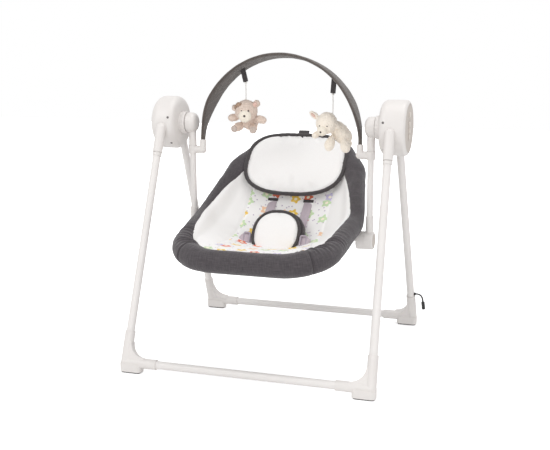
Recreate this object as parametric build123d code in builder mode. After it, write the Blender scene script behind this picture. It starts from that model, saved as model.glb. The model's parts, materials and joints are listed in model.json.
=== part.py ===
from build123d import *
import os
from math import atan2, cos, degrees, log, pi, radians, sin, sqrt, tan

# Baby swing: a folding stand, two swing arms hung in drum housings, a padded
# sling seat that reclines between the arms, and a toy bar with two plush toys.
# Millimetres, +Z up, front towards -Y, origin on the floor under the swing axis.

os.makedirs("parts", exist_ok=True)

# Clearances
FIT = 0.3               # between pieces that only lie beside each other
RUN = 0.05              # radial, shaft in bush or pin in bore
PAST = 1.0              # how far a cut runs past the face it opens

# Stand
HUB_Z = 590.0           # height of the swing axis
FOOT_Y = 289.0          # where a leg axis crosses its bar axis
BAR_Z = 24.0
LEG_IN_DRUM = 31.0      # leg axes from the drum's inner face, at the height of the swing axis
LEG_SPLAY = 12.0        # from there outwards to the bar axis
FRONT_HUB_Y = 65.0
REAR_HUB_Y = 50.0
LEG_D = 20.0
LEG_WALL = 1.5
FOLD_DEG = 42.0         # rear legs swing this far forwards
FOLD_PIN_ABOVE_HUB = 14.0
FOLD_PIN_D = 8.0
LEG_TOP_PAST_PIN = 14.0
PLUG_L = 46.0            # moulded plug in the top of each rear leg

# Feet
FOOT_D = 25.0           # outside of the two sockets
UPRIGHT_SOCKET_L = 77.0
BAR_SOCKET_L = 83.0
SOCKET_FLOOR = 27.0     # tubes stop this far from the corner
GUSSET_L = 50.0
GUSSET_T = 19.0
FOOT_BLOCK_L = 56.0
FOOT_BLOCK_W = 29.0
PAD_SHOWS = 3.0
PAD_SEAT = 3.0
PAD_INSET = 2.5

# Drum housings
DRUM_D = 136.0
DRUM_W = 67.0
DRUM_WALL = 3.0
DRUM_ROUND = 24.0       # outer edge of the plain drum
PANEL_ROUND = 9.0       # outer edge around the control panel
COVER_T = 18.3          # from the face towards the arm to the joint with the shell
COVER_ROUND = 17.0
COVER_WALL = 5.0
COVER_RIM_T = 9.5
LUG_T = 6.5             # lugs of the shell that reach into the cover
LUG_W = 14.0
LUG_L = 9.0
LUG_ROOT = 7.0
FLANGE_D = 58.0
FLANGE_L = 14.0
FLANGE_EDGE = 1.5
SLEEVE_D = 25.0
SLOT_SIDE = 1.5         # room beside a rear leg in its drum
SLOT_FLARE = 1.3
SLEEVE_BELOW_HUB = 69.0
SLEEVE_ABOVE = 8.0      # centre of the sleeve's round top below the swing axis
LEG_TOP_BELOW_HUB = 16.0
SCREW_ANGLES = (165.0, 228.0, 60.0)
SCREW_D = 3.0
SCREW_L = 14.0
SCREW_SHORT = 2.0       # a screw ends before the floor of its hole
SCREW_HEAD_D = 5.6
SCREW_HEAD_L = 1.8
BOSS_D = 15.0

# Swing drive
SHAFT_D = 12.0
BUSH_D = 18.0
BUSH_BOSS_D = 26.0
BUSH_INSIDE_L = 8.0
SHAFT_FLANGE_D = 20.0
SHAFT_FLANGE_L = 3.0
LEVER_T = 3.0
LEVER_W = 12.0
MAGNET_D = 20.0
MAGNET_T = 5.5
COIL_D = 28.0
COIL_BORE = 12.0
COIL_T = 5.0
COIL_ROOM = 1.5         # between the coil and the cover's rim

# Control panel on the right drum
PANEL_EDGE = 8.0        # of the drum's face left around the panel
PANEL_T = 1.5
PANEL_RECESS = 2.5
STRIP_W = 16.0          # light strip that carries the lower buttons
STRIP_H = 50.0
STRIP_CORNER = 4.0
STRIP_MID_BELOW_HUB = 6.0
BUTTON_W = 10.0
BUTTON_H = 11.0
BUTTON_PITCH = 15.0
BUTTON_PROUD = 2.0
BUTTON_CORNER = 2.0
BUTTON_EDGE = 0.8
BUTTON_FLANGE = 1.5
BUTTON_FLANGE_T = 2.5
BUTTON_TRAVEL = 1.2
POWER_D = 13.0
POWER_ABOVE_HUB = 32.0
BOARD_T = 1.6
BOARD_W = 46.0
BOARD_H = 72.0
BOARD_MID_Y = -15.0
BOARD_MID_ABOVE_HUB = 6.0
POST_D = 6.0
SWITCH_D = 6.0
SWITCH_H = 3.0
SPEAKER_D = 26.0
SPEAKER_MAGNET_D = 16.0
SPEAKER_T = 7.0
SPEAKER_ANGLE = 57.0
SPEAKER_ROOM = 4.3      # between the speaker and the drum's wall

# Swing arms
ARM_IN_HEAD = 12.0      # arm axis from the outer face of its head
ARM_D = 16.0
ARM_WALL = 1.3
HEAD_D = 52.0
HEAD_W = 26.0
HEAD_ROUND = 14.0
HEAD_EDGE = 2.0
HEAD_GAP = 1.0
SHAFT_SHORT = 6.0       # a shaft ends this far inside its head
NECK_D = 20.0
ARM_TOP_BELOW_HUB = 30.0
RECLINE_Z = 304.0
SOCKET_TOP_Z = 366.0
ARM_END_Z = 334.0
DISC_D = 46.0
DISC_W = 23.0
DISC_ROUND = 3.0
PIVOT_D = 14.0
PIVOT_L = 13.0
RECLINE_BUTTON_D = 34.0
RECLINE_BUTTON_L = 6.0
RECLINE_BUTTON_PROUD = 1.0
RECLINE_BUTTON_TRAVEL = 3.0

# Seat ring and padded seat
RING_D = 16.0
RING_WALL = 1.5
RING_FRONT_Y, RING_FRONT_Z, RING_FRONT_X = -280.0, 293.0, 182.0
RING_BEND_Y, RING_BEND_Z = -6.0, 348.0
RING_TO_ARM = 38.0      # from the ring's bend outwards to the arm axis
RING_HEAD_Y, RING_HEAD_Z, RING_HEAD_X = 160.0, 456.0, 165.0
RING_TOP_Y, RING_TOP_Z, RING_TOP_X = 243.0, 513.0, 98.0
RING_FRONT_R = 108.0
RING_BEND_R = 120.0
RING_HEAD_R = 80.0
RING_TOP_R = 80.0
RIM_D = 52.0
SLING_T = 5.0
LINER_T = 16.0
LINER_EDGE_T = 12.0
BRACKET_W = 24.0
BRACKET_T = 20.0
BRACKET_CORNER = 5.0
CLAMP_D = 24.0
CLAMP_RISE = 3.0        # the bent tube passes this far above the corner of its bend

# Pillow, crotch pad and harness
PILLOW_W, PILLOW_H, PILLOW_T = 276.0, 196.0, 46.0
PILLOW_ROUND_SHARE = 0.47    # corner radius as a share of the height
PILLOW_Y, PILLOW_Z = 156.0, 468.0
PILLOW_DEG = 47.0
PILLOW_TAB_W, PILLOW_TAB_T, PILLOW_TAB_L = 30.0, 5.0, 32.0
PILLOW_TAB_SEWN = 14.0
CROTCH_W, CROTCH_H, CROTCH_T = 130.0, 100.0, 32.0
CROTCH_ROUND_SHARE = 0.48    # corner radius as a share of the height
CROTCH_Y, CROTCH_Z = -24.0, 322.0
CROTCH_DEG = 55.0
STRAP_W = 24.0
STRAP_T = 2.5
STRAP_X = 50.0
STRAP_BEND_R = 30.0
WAIST_Y = -40.0
BUCKLE_W, BUCKLE_H, BUCKLE_T = 52.0, 40.0, 14.0
BUCKLE_CORNER, BUCKLE_EDGE = 8.0, 2.0
BUCKLE_UP = 8.0          # above the middle of the pad
BUCKLE_BUTTON_D = 16.0
BUCKLE_BUTTON_PROUD = 1.5
BUCKLE_BUTTON_L = 8.0
BUCKLE_BUTTON_TRAVEL = 3.0

# Toy bar
TOY_BELOW_HUB = 70.0    # axis on which the bar tilts
TOY_LEAN = 7.0
CLIP_D = 22.0
CLIP_H = 21.4
CLIP_PEG_D = 20.0
PEG_PIN_D = 9.0
ELBOW_D = 20.0
ELBOW_NECK_D = 17.0
ELBOW_RISE = 26.0
ARCH_HALF = 210.0       # to the middle of the band
ARCH_TO_ARM = 28.0      # from there to the arm axis
ARCH_RISE = 218.0
ARCH_T = 8.0
ARCH_END_W = 18.0
ARCH_WIDE_W = 78.0
ARCH_WIDENS_OVER = 120.0
TONGUE_T, TONGUE_W, TONGUE_L = 4.0, 8.0, 12.0
TAB_W, TAB_T, TAB_L = 16.0, 3.0, 36.0
LEFT_TOY_X = -98.0
RIGHT_TOY_X = 134.0
KNOT_D = 7.0
STUFFED_LEVELS = (0.008, 0.1, 0.3, 0.5, 0.7, 0.9, 0.992)
TOY_CORD_D = 2.4
LEFT_CORD_L = 39.0
RIGHT_CORD_L = 45.5

# Power lead at the right rear foot
LEAD_D = 4.4
LEAD_Z = 100.0
GROMMET_D = 8.0
GROMMET_L = 4.0
CONNECTOR_D = 9.6
CONNECTOR_L = 22.0
CONNECTOR_EDGE = 2.0

# Worked-out places
arm_x = ARCH_HALF + ARCH_TO_ARM
head_out_x = arm_x + ARM_IN_HEAD
head_in_x = head_out_x - HEAD_W
flange_x = head_out_x + HEAD_GAP
drum_in_x = flange_x + FLANGE_L
drum_out_x = drum_in_x + DRUM_W
leg_hub_x = drum_in_x + LEG_IN_DRUM
foot_x = leg_hub_x + LEG_SPLAY
ring_bend_x = arm_x - RING_TO_ARM
cover_x = drum_in_x + COVER_T
floor_x = drum_in_x + COVER_WALL
cover_pocket_d = DRUM_D - 2 * COVER_RIM_T
magnet_drop = cover_pocket_d / 2 - COIL_D / 2 - COIL_ROOM
panel_d = DRUM_D - 2 * PANEL_EDGE
speaker_reach = DRUM_D / 2 - DRUM_WALL - SPEAKER_D / 2 - SPEAKER_ROOM
speaker_y = speaker_reach * cos(radians(SPEAKER_ANGLE))
speaker_z = HUB_Z + speaker_reach * sin(radians(SPEAKER_ANGLE))
fold_pin_z = HUB_Z + FOLD_PIN_ABOVE_HUB
toy_z = HUB_Z - TOY_BELOW_HUB
neck_end_z = toy_z + CLIP_H / 2 + FIT
arm_top_z = HUB_Z - ARM_TOP_BELOW_HUB
bush_end_x = floor_x + BUSH_INSIDE_L
shaft_flange_x = bush_end_x + FIT
lever_x = shaft_flange_x + SHAFT_FLANGE_L
recess_x = drum_out_x - PANEL_RECESS
wall_in_x = recess_x - DRUM_WALL
disc_in_x = arm_x - DISC_W / 2
disc_out_x = arm_x + DISC_W / 2
pillow_corner = PILLOW_ROUND_SHARE * PILLOW_H
crotch_corner = CROTCH_ROUND_SHARE * CROTCH_H

front_corner = Vector(foot_x, -FOOT_Y, BAR_Z)
front_axis = (Vector(leg_hub_x, -FRONT_HUB_Y, HUB_Z) - front_corner).normalized()
rear_corner = Vector(foot_x, FOOT_Y, BAR_Z)
rear_axis = (Vector(leg_hub_x, REAR_HUB_Y, HUB_Z) - rear_corner).normalized()


def along(corner, axis, z):
    """The point at height z on a leg's axis."""
    return corner + axis * ((z - corner.Z) / axis.Z)


fold_pin = along(rear_corner, rear_axis, fold_pin_z)
rest_deg = degrees(atan2(-rear_axis.Y, rear_axis.Z))


def finish(builder, name):
    """Name a piece and write it."""
    builder.part.label = name
    export_step(builder.part, f"parts/{name}.step")


def square_to(start, direction):
    """A plane at a point, facing along a direction."""
    return Plane(origin=start, z_dir=direction)


def drum(diameter, x_start, x_end, outer_round):
    """A solid drum on the swing axis with its outer edge rounded."""
    with BuildPart(mode=Mode.PRIVATE) as body:
        with BuildSketch(Plane.YZ.offset(x_start)):
            with Locations((0, HUB_Z)):
                Circle(diameter / 2)
        extrude(amount=x_end - x_start)
        fillet(body.edges().group_by(Axis.X)[-1], outer_round)
    return body.part


def disc(diameter, y, z, x_start, x_end):
    """A plain cylinder lying along X."""
    with BuildPart(mode=Mode.PRIVATE) as body:
        with BuildSketch(Plane.YZ.offset(x_start)):
            with Locations((y, z)):
                Circle(diameter / 2)
        extrude(amount=x_end - x_start)
    return body.part


def pipe(start, end, outer, inner=0.0):
    """A straight round tube, or a rod where inner is zero."""
    with BuildPart(mode=Mode.PRIVATE) as body:
        with BuildSketch(square_to(start, end - start)):
            Circle(outer / 2)
            if inner:
                Circle(inner / 2, mode=Mode.SUBTRACT)
        extrude(amount=(end - start).length)
    return body.part


# Legs and cross bars
front_leg_start = front_corner + front_axis * SOCKET_FLOOR
front_leg_end = along(front_corner, front_axis, HUB_Z - LEG_TOP_BELOW_HUB)
with BuildPart() as front_legs:
    add(pipe(front_leg_start, front_leg_end, LEG_D, LEG_D - 2 * LEG_WALL))
    mirror(about=Plane.YZ)
finish(front_legs, "front_legs")

rear_leg_start = rear_corner + rear_axis * SOCKET_FLOOR
rear_leg_end = fold_pin + rear_axis * LEG_TOP_PAST_PIN
lead_at = along(rear_corner, rear_axis, LEAD_Z)
with BuildPart() as rear_legs:
    add(pipe(rear_leg_start, rear_leg_end, LEG_D, LEG_D - 2 * LEG_WALL))
    add(disc(FOLD_PIN_D + 4 * RUN, fold_pin.Y, fold_pin.Z, fold_pin.X - LEG_D, fold_pin.X + LEG_D),
        mode=Mode.SUBTRACT)
    mirror(about=Plane.YZ)
    add(disc(LEAD_D + 2 * FIT, lead_at.Y, lead_at.Z, lead_at.X, lead_at.X + LEG_D), mode=Mode.SUBTRACT)
finish(rear_legs, "rear_legs")

with BuildPart() as rear_hinge_plugs:
    add(pipe(rear_leg_end - rear_axis * PLUG_L, rear_leg_end, LEG_D - 2 * LEG_WALL))
    add(disc(FOLD_PIN_D + 2 * RUN, fold_pin.Y, fold_pin.Z, fold_pin.X - LEG_D, fold_pin.X + LEG_D),
        mode=Mode.SUBTRACT)
    mirror(about=Plane.YZ)
finish(rear_hinge_plugs, "rear_hinge_plugs")

bar_half = foot_x - SOCKET_FLOOR
for name, y in (("front_bar", -FOOT_Y), ("rear_bar", FOOT_Y)):
    with BuildPart() as bar:
        add(pipe(Vector(-bar_half, y, BAR_Z), Vector(bar_half, y, BAR_Z), LEG_D, LEG_D - 2 * LEG_WALL))
    finish(bar, name)


pad_l = FOOT_BLOCK_L - 2 * PAD_INSET
pad_w = FOOT_BLOCK_W - 2 * PAD_INSET
pad_corner = FOOT_BLOCK_W / 4


def foot(corner, axis):
    """Corner connector: an upright socket, a bar socket, a gusset and a block over the pad."""
    web = Plane(origin=corner, x_dir=(-1, 0, 0), z_dir=Vector(-1, 0, 0).cross(axis))
    reach = FOOT_D / 2
    block_x = corner.X + reach - FOOT_BLOCK_L / 2
    with BuildPart(mode=Mode.PRIVATE) as body:
        add(pipe(corner, corner + axis * UPRIGHT_SOCKET_L, FOOT_D))
        add(pipe(corner, corner - Vector(BAR_SOCKET_L, 0, 0), FOOT_D))
        with Locations(corner):
            Sphere(reach)
        with BuildSketch(web):
            with BuildLine():
                Polyline((GUSSET_L, reach), (GUSSET_L, 0), (0, 0), (0, GUSSET_L), (reach, GUSSET_L))
                RadiusArc((reach, GUSSET_L), (GUSSET_L, reach), reach - GUSSET_L)
            make_face()
        extrude(amount=GUSSET_T / 2, both=True)
        with BuildSketch(Plane.XY.offset(PAD_SHOWS)):
            with Locations((block_x, corner.Y)):
                RectangleRounded(FOOT_BLOCK_L, FOOT_BLOCK_W, FOOT_BLOCK_W / 3)
        extrude(amount=BAR_Z - PAD_SHOWS)
        for way, length in ((axis, UPRIGHT_SOCKET_L), (Vector(-1, 0, 0), BAR_SOCKET_L)):
            add(pipe(corner + way * SOCKET_FLOOR, corner + way * (length + PAST), LEG_D),
                mode=Mode.SUBTRACT)
        with BuildSketch(Plane.XY.offset(PAD_SHOWS)):
            with Locations((block_x, corner.Y)):
                RectangleRounded(pad_l, pad_w, pad_corner)
        extrude(amount=PAD_SEAT, mode=Mode.SUBTRACT)
    return body.part


def pad(corner):
    """Rubber pad let into the underside of a foot."""
    with BuildPart(mode=Mode.PRIVATE) as body:
        with BuildSketch():
            with Locations((corner.X + FOOT_D / 2 - FOOT_BLOCK_L / 2, corner.Y)):
                RectangleRounded(pad_l, pad_w, pad_corner)
        extrude(amount=PAD_SHOWS + PAD_SEAT)
    return body.part


for end, corner, axis in (("front", front_corner, front_axis), ("rear", rear_corner, rear_axis)):
    with BuildPart() as feet:
        add(foot(corner, axis))
        mirror(about=Plane.YZ)
    finish(feet, f"{end}_feet")
    with BuildPart() as foot_pads:
        add(pad(corner))
        mirror(about=Plane.YZ)
    finish(foot_pads, f"{end}_foot_pads")

# Drum housings: a cup open towards the arm, with the front leg's sleeve moulded on
sleeve_start = along(front_corner, front_axis, HUB_Z - SLEEVE_BELOW_HUB)
sleeve_top = along(front_corner, front_axis, HUB_Z - SLEEVE_ABOVE)
slot_reach = DRUM_D
slot_half = LEG_D / 2 + 4 * FIT


def leg_slot():
    """The space that a rear leg sweeps through the drum as it folds."""
    def ray(angle, side, reach):
        turn = radians(angle)
        return (fold_pin.Y + reach * sin(turn) + side * cos(turn),
                fold_pin.Z - reach * cos(turn) + side * sin(turn))
    folded_deg = rest_deg - FOLD_DEG
    middle_deg = rest_deg - FOLD_DEG / 2
    with BuildPart(mode=Mode.PRIVATE) as body:
        with BuildSketch(Plane.YZ.offset(fold_pin.X)):
            with BuildLine():
                Polyline(ray(rest_deg, slot_half, 0), ray(rest_deg, slot_half, slot_reach),
                         ray(middle_deg, 0, slot_reach * SLOT_FLARE),
                         ray(folded_deg, -slot_half, slot_reach),
                         ray(folded_deg, -slot_half, 0), close=True)
            make_face()
        extrude(amount=slot_half + SLOT_SIDE, both=True)
    return body.part


def screw_planes():
    """Places on the cover's rim where its screws go in, facing inwards."""
    for angle in SCREW_ANGLES:
        out = Vector(0, cos(radians(angle)), sin(radians(angle)))
        yield Plane(origin=Vector(cover_x - LUG_L / 2, 0, HUB_Z) + out * (DRUM_D / 2), z_dir=-out)


def lugs():
    """Lugs inside the right drum that reach into its cover and take the screws."""
    within = cover_pocket_d / 2 - FIT
    with BuildPart(mode=Mode.PRIVATE) as body:
        for reach, x_start in ((within, cover_x - LUG_L), (DRUM_D / 2 - DRUM_WALL / 2, cover_x + FIT)):
            with BuildSketch(Plane.YZ.offset(x_start)):
                for angle in SCREW_ANGLES:
                    with Locations(Location((0, HUB_Z, 0), (0, 0, angle))):
                        Rectangle(DRUM_D, LUG_W, align=(Align.MIN, Align.CENTER))
                with Locations((0, HUB_Z)):
                    Circle(reach, mode=Mode.INTERSECT)
                    Circle(within - LUG_T, mode=Mode.SUBTRACT)
            extrude(amount=cover_x + LUG_ROOT - x_start)
    return body.part


def housing_shell(outer_round):
    """The right-hand drum; the left one is its mirror image."""
    with BuildPart(mode=Mode.PRIVATE) as body:
        add(drum(DRUM_D, cover_x, drum_out_x, outer_round))
        inner_round = max(outer_round - DRUM_WALL - PANEL_RECESS, DRUM_WALL / 3)
        add(drum(DRUM_D - 2 * DRUM_WALL, cover_x, wall_in_x, inner_round), mode=Mode.SUBTRACT)
        add(pipe(sleeve_start, sleeve_top, SLEEVE_D))
        with Locations(sleeve_top):
            Sphere(SLEEVE_D / 2)
        add(disc(BOSS_D, fold_pin.Y, fold_pin.Z, fold_pin.X + slot_half + SLOT_SIDE, wall_in_x + PAST))
        add(leg_slot(), mode=Mode.SUBTRACT)
        add(disc(FOLD_PIN_D, fold_pin.Y, fold_pin.Z, fold_pin.X, wall_in_x), mode=Mode.SUBTRACT)
        add(pipe(sleeve_start - front_axis, front_leg_end, LEG_D), mode=Mode.SUBTRACT)
        add(lugs())
        for spot in screw_planes():
            with Locations(spot):
                Cylinder(SCREW_D / 2, 2 * (DRUM_WALL + SCREW_L), mode=Mode.SUBTRACT)
    return body.part


with BuildPart() as left_housing:
    add(mirror(housing_shell(DRUM_ROUND), about=Plane.YZ, mode=Mode.PRIVATE))
finish(left_housing, "left_housing")

button_zs = [HUB_Z - STRIP_MID_BELOW_HUB + step * BUTTON_PITCH for step in (1, 0, -1)]
power_z = HUB_Z + POWER_ABOVE_HUB
board_x = wall_in_x - BUTTON_FLANGE_T - BUTTON_TRAVEL - FIT - SWITCH_H
board_z = HUB_Z + BOARD_MID_ABOVE_HUB
post_y = BOARD_MID_Y - BOARD_W / 2 + POST_D
post_zs = [board_z + rise * (BOARD_H / 2 - POST_D) for rise in (-1, 1)]


def button_hole(x_start, x_end, clearance):
    """The four button openings, cut between two planes across X."""
    with BuildPart(mode=Mode.PRIVATE) as body:
        with BuildSketch(Plane.YZ.offset(x_start)):
            for z in button_zs:
                with Locations((0, z)):
                    RectangleRounded(BUTTON_W + 2 * clearance, BUTTON_H + 2 * clearance, BUTTON_CORNER)
            with Locations((0, power_z)):
                Circle(POWER_D / 2 + clearance)
        extrude(amount=x_end - x_start)
    return body.part


with BuildPart() as right_housing:
    add(housing_shell(PANEL_ROUND))
    for z in post_zs:
        add(disc(POST_D, post_y, z, board_x, wall_in_x + PAST))
    add(disc(panel_d, 0, HUB_Z, recess_x, drum_out_x + PAST), mode=Mode.SUBTRACT)
    add(button_hole(wall_in_x - PAST, recess_x + PAST, FIT), mode=Mode.SUBTRACT)
finish(right_housing, "right_housing")

with BuildPart() as control_panel:
    add(disc(panel_d - 2 * FIT, 0, HUB_Z, recess_x, recess_x + PANEL_T))
    with BuildSketch(Plane.YZ.offset(recess_x)):
        with Locations((0, HUB_Z - STRIP_MID_BELOW_HUB)):
            RectangleRounded(STRIP_W, STRIP_H, STRIP_CORNER)
    extrude(amount=PANEL_RECESS)
    add(button_hole(recess_x - PAST, drum_out_x + PAST, FIT), mode=Mode.SUBTRACT)
finish(control_panel, "control_panel")

button_top_x = drum_out_x + BUTTON_PROUD
for name, z in zip(("speed_button", "timer_button", "melody_button"), button_zs):
    with BuildPart() as button:
        with BuildSketch(Plane.YZ.offset(wall_in_x - BUTTON_FLANGE_T)):
            with Locations((0, z)):
                RectangleRounded(BUTTON_W + 2 * BUTTON_FLANGE, BUTTON_H + 2 * BUTTON_FLANGE,
                                 BUTTON_CORNER)
        extrude(amount=BUTTON_FLANGE_T - FIT)
        with BuildSketch(Plane.YZ.offset(wall_in_x - FIT)):
            with Locations((0, z)):
                RectangleRounded(BUTTON_W, BUTTON_H, BUTTON_CORNER)
        extrude(amount=button_top_x - wall_in_x + FIT)
        fillet(button.edges().group_by(Axis.X)[-1], BUTTON_EDGE)
    finish(button, name)

with BuildPart() as power_button:
    add(disc(POWER_D + 2 * BUTTON_FLANGE, 0, power_z, wall_in_x - BUTTON_FLANGE_T, wall_in_x - FIT))
    add(disc(POWER_D, 0, power_z, wall_in_x - FIT, button_top_x))
    fillet(power_button.edges().group_by(Axis.X)[-1], BUTTON_EDGE)
finish(power_button, "power_button")

with BuildPart() as circuit_board:
    with BuildSketch(Plane.YZ.offset(board_x - BOARD_T)):
        with Locations((BOARD_MID_Y, board_z)):
            Rectangle(BOARD_W, BOARD_H)
    extrude(amount=BOARD_T)
    for z in button_zs + [power_z]:
        add(disc(SWITCH_D, 0, z, board_x, board_x + SWITCH_H))
finish(circuit_board, "circuit_board")

with BuildPart() as speaker:
    add(disc(SPEAKER_D, speaker_y, speaker_z, wall_in_x - SPEAKER_T / 2, wall_in_x))
    add(disc(SPEAKER_MAGNET_D, speaker_y, speaker_z, wall_in_x - SPEAKER_T, wall_in_x))
finish(speaker, "speaker")

# Covers towards the arms carry the bearing bushes; their screws go into the shells' lugs
with BuildPart() as housing_covers:
    with BuildSketch(Plane.YZ.offset(drum_in_x)):
        with Locations((0, HUB_Z)):
            Circle(DRUM_D / 2)
    extrude(amount=COVER_T)
    fillet(housing_covers.edges().group_by(Axis.X)[0], COVER_ROUND)
    add(disc(cover_pocket_d, 0, HUB_Z, floor_x, cover_x), mode=Mode.SUBTRACT)
    add(disc(FLANGE_D, 0, HUB_Z, flange_x, drum_in_x))
    fillet(housing_covers.edges().group_by(Axis.X)[0], FLANGE_EDGE)
    add(disc(BUSH_BOSS_D, 0, HUB_Z, floor_x, bush_end_x - PAST))
    add(disc(BOSS_D, fold_pin.Y, fold_pin.Z, floor_x, fold_pin.X - slot_half - SLOT_SIDE))
    add(disc(BUSH_D, 0, HUB_Z, flange_x - PAST, bush_end_x), mode=Mode.SUBTRACT)
    add(disc(FOLD_PIN_D, fold_pin.Y, fold_pin.Z, floor_x, fold_pin.X), mode=Mode.SUBTRACT)
    for spot in screw_planes():
        with Locations(spot):
            Cylinder(SCREW_HEAD_D / 2 + FIT, 2 * SCREW_HEAD_L + 2 * FIT, mode=Mode.SUBTRACT)
            Cylinder(SCREW_D / 2, 2 * (DRUM_WALL + SCREW_L), mode=Mode.SUBTRACT)
    mirror(about=Plane.YZ)
finish(housing_covers, "housing_covers")

with BuildPart() as housing_screws:
    for spot in screw_planes():
        with BuildSketch(spot.offset(FIT)):
            Circle(SCREW_HEAD_D / 2)
        extrude(amount=SCREW_HEAD_L)
        with BuildSketch(spot.offset(FIT)):
            Circle(SCREW_D / 2)
        extrude(amount=SCREW_HEAD_L + SCREW_L - SCREW_SHORT)
    mirror(about=Plane.YZ)
finish(housing_screws, "housing_screws")

with BuildPart() as fold_pins:
    add(disc(FOLD_PIN_D, fold_pin.Y, fold_pin.Z, floor_x, wall_in_x))
    mirror(about=Plane.YZ)
finish(fold_pins, "fold_pins")

with BuildPart() as shaft_bushes:
    add(disc(BUSH_D, 0, HUB_Z, flange_x, bush_end_x))
    add(disc(SHAFT_D + 2 * RUN, 0, HUB_Z, flange_x - PAST, bush_end_x + PAST), mode=Mode.SUBTRACT)
    mirror(about=Plane.YZ)
finish(shaft_bushes, "shaft_bushes")

coil_x = floor_x + COIL_T
with BuildPart() as drive_coil:
    add(disc(COIL_D, 0, HUB_Z - magnet_drop, floor_x, coil_x))
    add(disc(COIL_BORE, 0, HUB_Z - magnet_drop, floor_x - PAST, coil_x + PAST), mode=Mode.SUBTRACT)
finish(drive_coil, "drive_coil")

# Swing arms
with BuildPart() as swing_shafts:
    add(disc(SHAFT_D, 0, HUB_Z, head_in_x + SHAFT_SHORT, shaft_flange_x))
    add(disc(SHAFT_FLANGE_D, 0, HUB_Z, shaft_flange_x, lever_x))
    mirror(about=Plane.YZ)
finish(swing_shafts, "swing_shafts")

with BuildPart() as magnet_lever:
    with BuildSketch(Plane.YZ.offset(lever_x)):
        with Locations((0, HUB_Z)):
            Circle(SHAFT_FLANGE_D / 2)
        with Locations((0, HUB_Z - magnet_drop / 2)):
            Rectangle(LEVER_W, magnet_drop)
        with Locations((0, HUB_Z - magnet_drop)):
            Circle(MAGNET_D / 2)
    extrude(amount=LEVER_T)
    add(disc(MAGNET_D, 0, HUB_Z - magnet_drop, lever_x - MAGNET_T, lever_x))
finish(magnet_lever, "magnet_lever")

with BuildPart() as arm_heads:
    with BuildSketch(Plane.YZ.offset(head_in_x)):
        with Locations((0, HUB_Z)):
            Circle(HEAD_D / 2)
    extrude(amount=HEAD_W)
    fillet(arm_heads.edges().group_by(Axis.X)[0], HEAD_ROUND)
    fillet(arm_heads.edges().group_by(Axis.X)[-1], HEAD_EDGE)
    add(pipe(Vector(arm_x, 0, neck_end_z), Vector(arm_x, 0, HUB_Z), NECK_D))
    add(disc(SHAFT_D, 0, HUB_Z, head_in_x + SHAFT_SHORT, head_out_x + PAST), mode=Mode.SUBTRACT)
    add(pipe(Vector(arm_x, 0, neck_end_z - PAST), Vector(arm_x, 0, arm_top_z), ARM_D), mode=Mode.SUBTRACT)
    mirror(about=Plane.YZ)
finish(arm_heads, "arm_heads")

with BuildPart() as arm_tubes:
    add(pipe(Vector(arm_x, 0, ARM_END_Z), Vector(arm_x, 0, arm_top_z), ARM_D, ARM_D - 2 * ARM_WALL))
    mirror(about=Plane.YZ)
finish(arm_tubes, "arm_tubes")

button_floor_x = disc_out_x - RECLINE_BUTTON_L - RECLINE_BUTTON_TRAVEL - FIT
with BuildPart() as arm_sockets:
    add(disc(DISC_D, 0, RECLINE_Z, disc_in_x, disc_out_x))
    fillet(arm_sockets.edges().group_by(Axis.X)[-1], DISC_ROUND)
    add(pipe(Vector(arm_x, 0, RECLINE_Z), Vector(arm_x, 0, SOCKET_TOP_Z), NECK_D))
    for bore, start, end in ((PIVOT_D + 2 * RUN, disc_in_x - PAST, disc_in_x + PIVOT_L + FIT),
                             (RECLINE_BUTTON_D + 2 * FIT, button_floor_x, disc_out_x + PAST)):
        add(disc(bore, 0, RECLINE_Z, start, end), mode=Mode.SUBTRACT)
    add(pipe(Vector(arm_x, 0, ARM_END_Z), Vector(arm_x, 0, SOCKET_TOP_Z + PAST), ARM_D),
        mode=Mode.SUBTRACT)
    mirror(about=Plane.YZ)
finish(arm_sockets, "arm_sockets")

button_x = disc_out_x - RECLINE_BUTTON_L
for side, name in ((1, "right_recline_button"), (-1, "left_recline_button")):
    with BuildPart() as recline_button:
        ends = sorted((side * button_x, side * (disc_out_x + RECLINE_BUTTON_PROUD)))
        add(disc(RECLINE_BUTTON_D, 0, RECLINE_Z, *ends))
        fillet(recline_button.edges().sort_by(Axis.X)[-1 if side > 0 else 0], BUTTON_EDGE)
    finish(recline_button, name)

# Seat ring: one bent tube, front half flatter than the back half
ring_points = [
    (0, RING_FRONT_Y, RING_FRONT_Z),
    (RING_FRONT_X, RING_FRONT_Y, RING_FRONT_Z),
    (ring_bend_x, RING_BEND_Y, RING_BEND_Z),
    (RING_HEAD_X, RING_HEAD_Y, RING_HEAD_Z),
    (RING_TOP_X, RING_TOP_Y, RING_TOP_Z),
    (0, RING_TOP_Y, RING_TOP_Z),
]
ring_radii = [RING_FRONT_R, RING_BEND_R, RING_HEAD_R, RING_TOP_R]


def ring_solid(outer, inner=0.0):
    """A round section carried round the seat ring."""
    with BuildPart(mode=Mode.PRIVATE) as body:
        with BuildLine() as path:
            FilletPolyline(*ring_points, radius=ring_radii)
        with BuildSketch(square_to(path.wires()[0] @ 0, path.wires()[0] % 0)):
            Circle(outer / 2)
            if inner:
                Circle(inner / 2, mode=Mode.SUBTRACT)
        sweep(path=path.wires()[0])
        mirror(about=Plane.YZ)
    return body.part


with BuildPart() as seat_frame:
    add(ring_solid(RING_D, RING_D - 2 * RING_WALL))
finish(seat_frame, "seat_frame")

# Brackets clamp the ring tube and turn in the arm sockets
bracket_x = disc_in_x - FIT
clamp_top_z = RING_BEND_Z + CLAMP_RISE + CLAMP_D / 2


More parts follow.
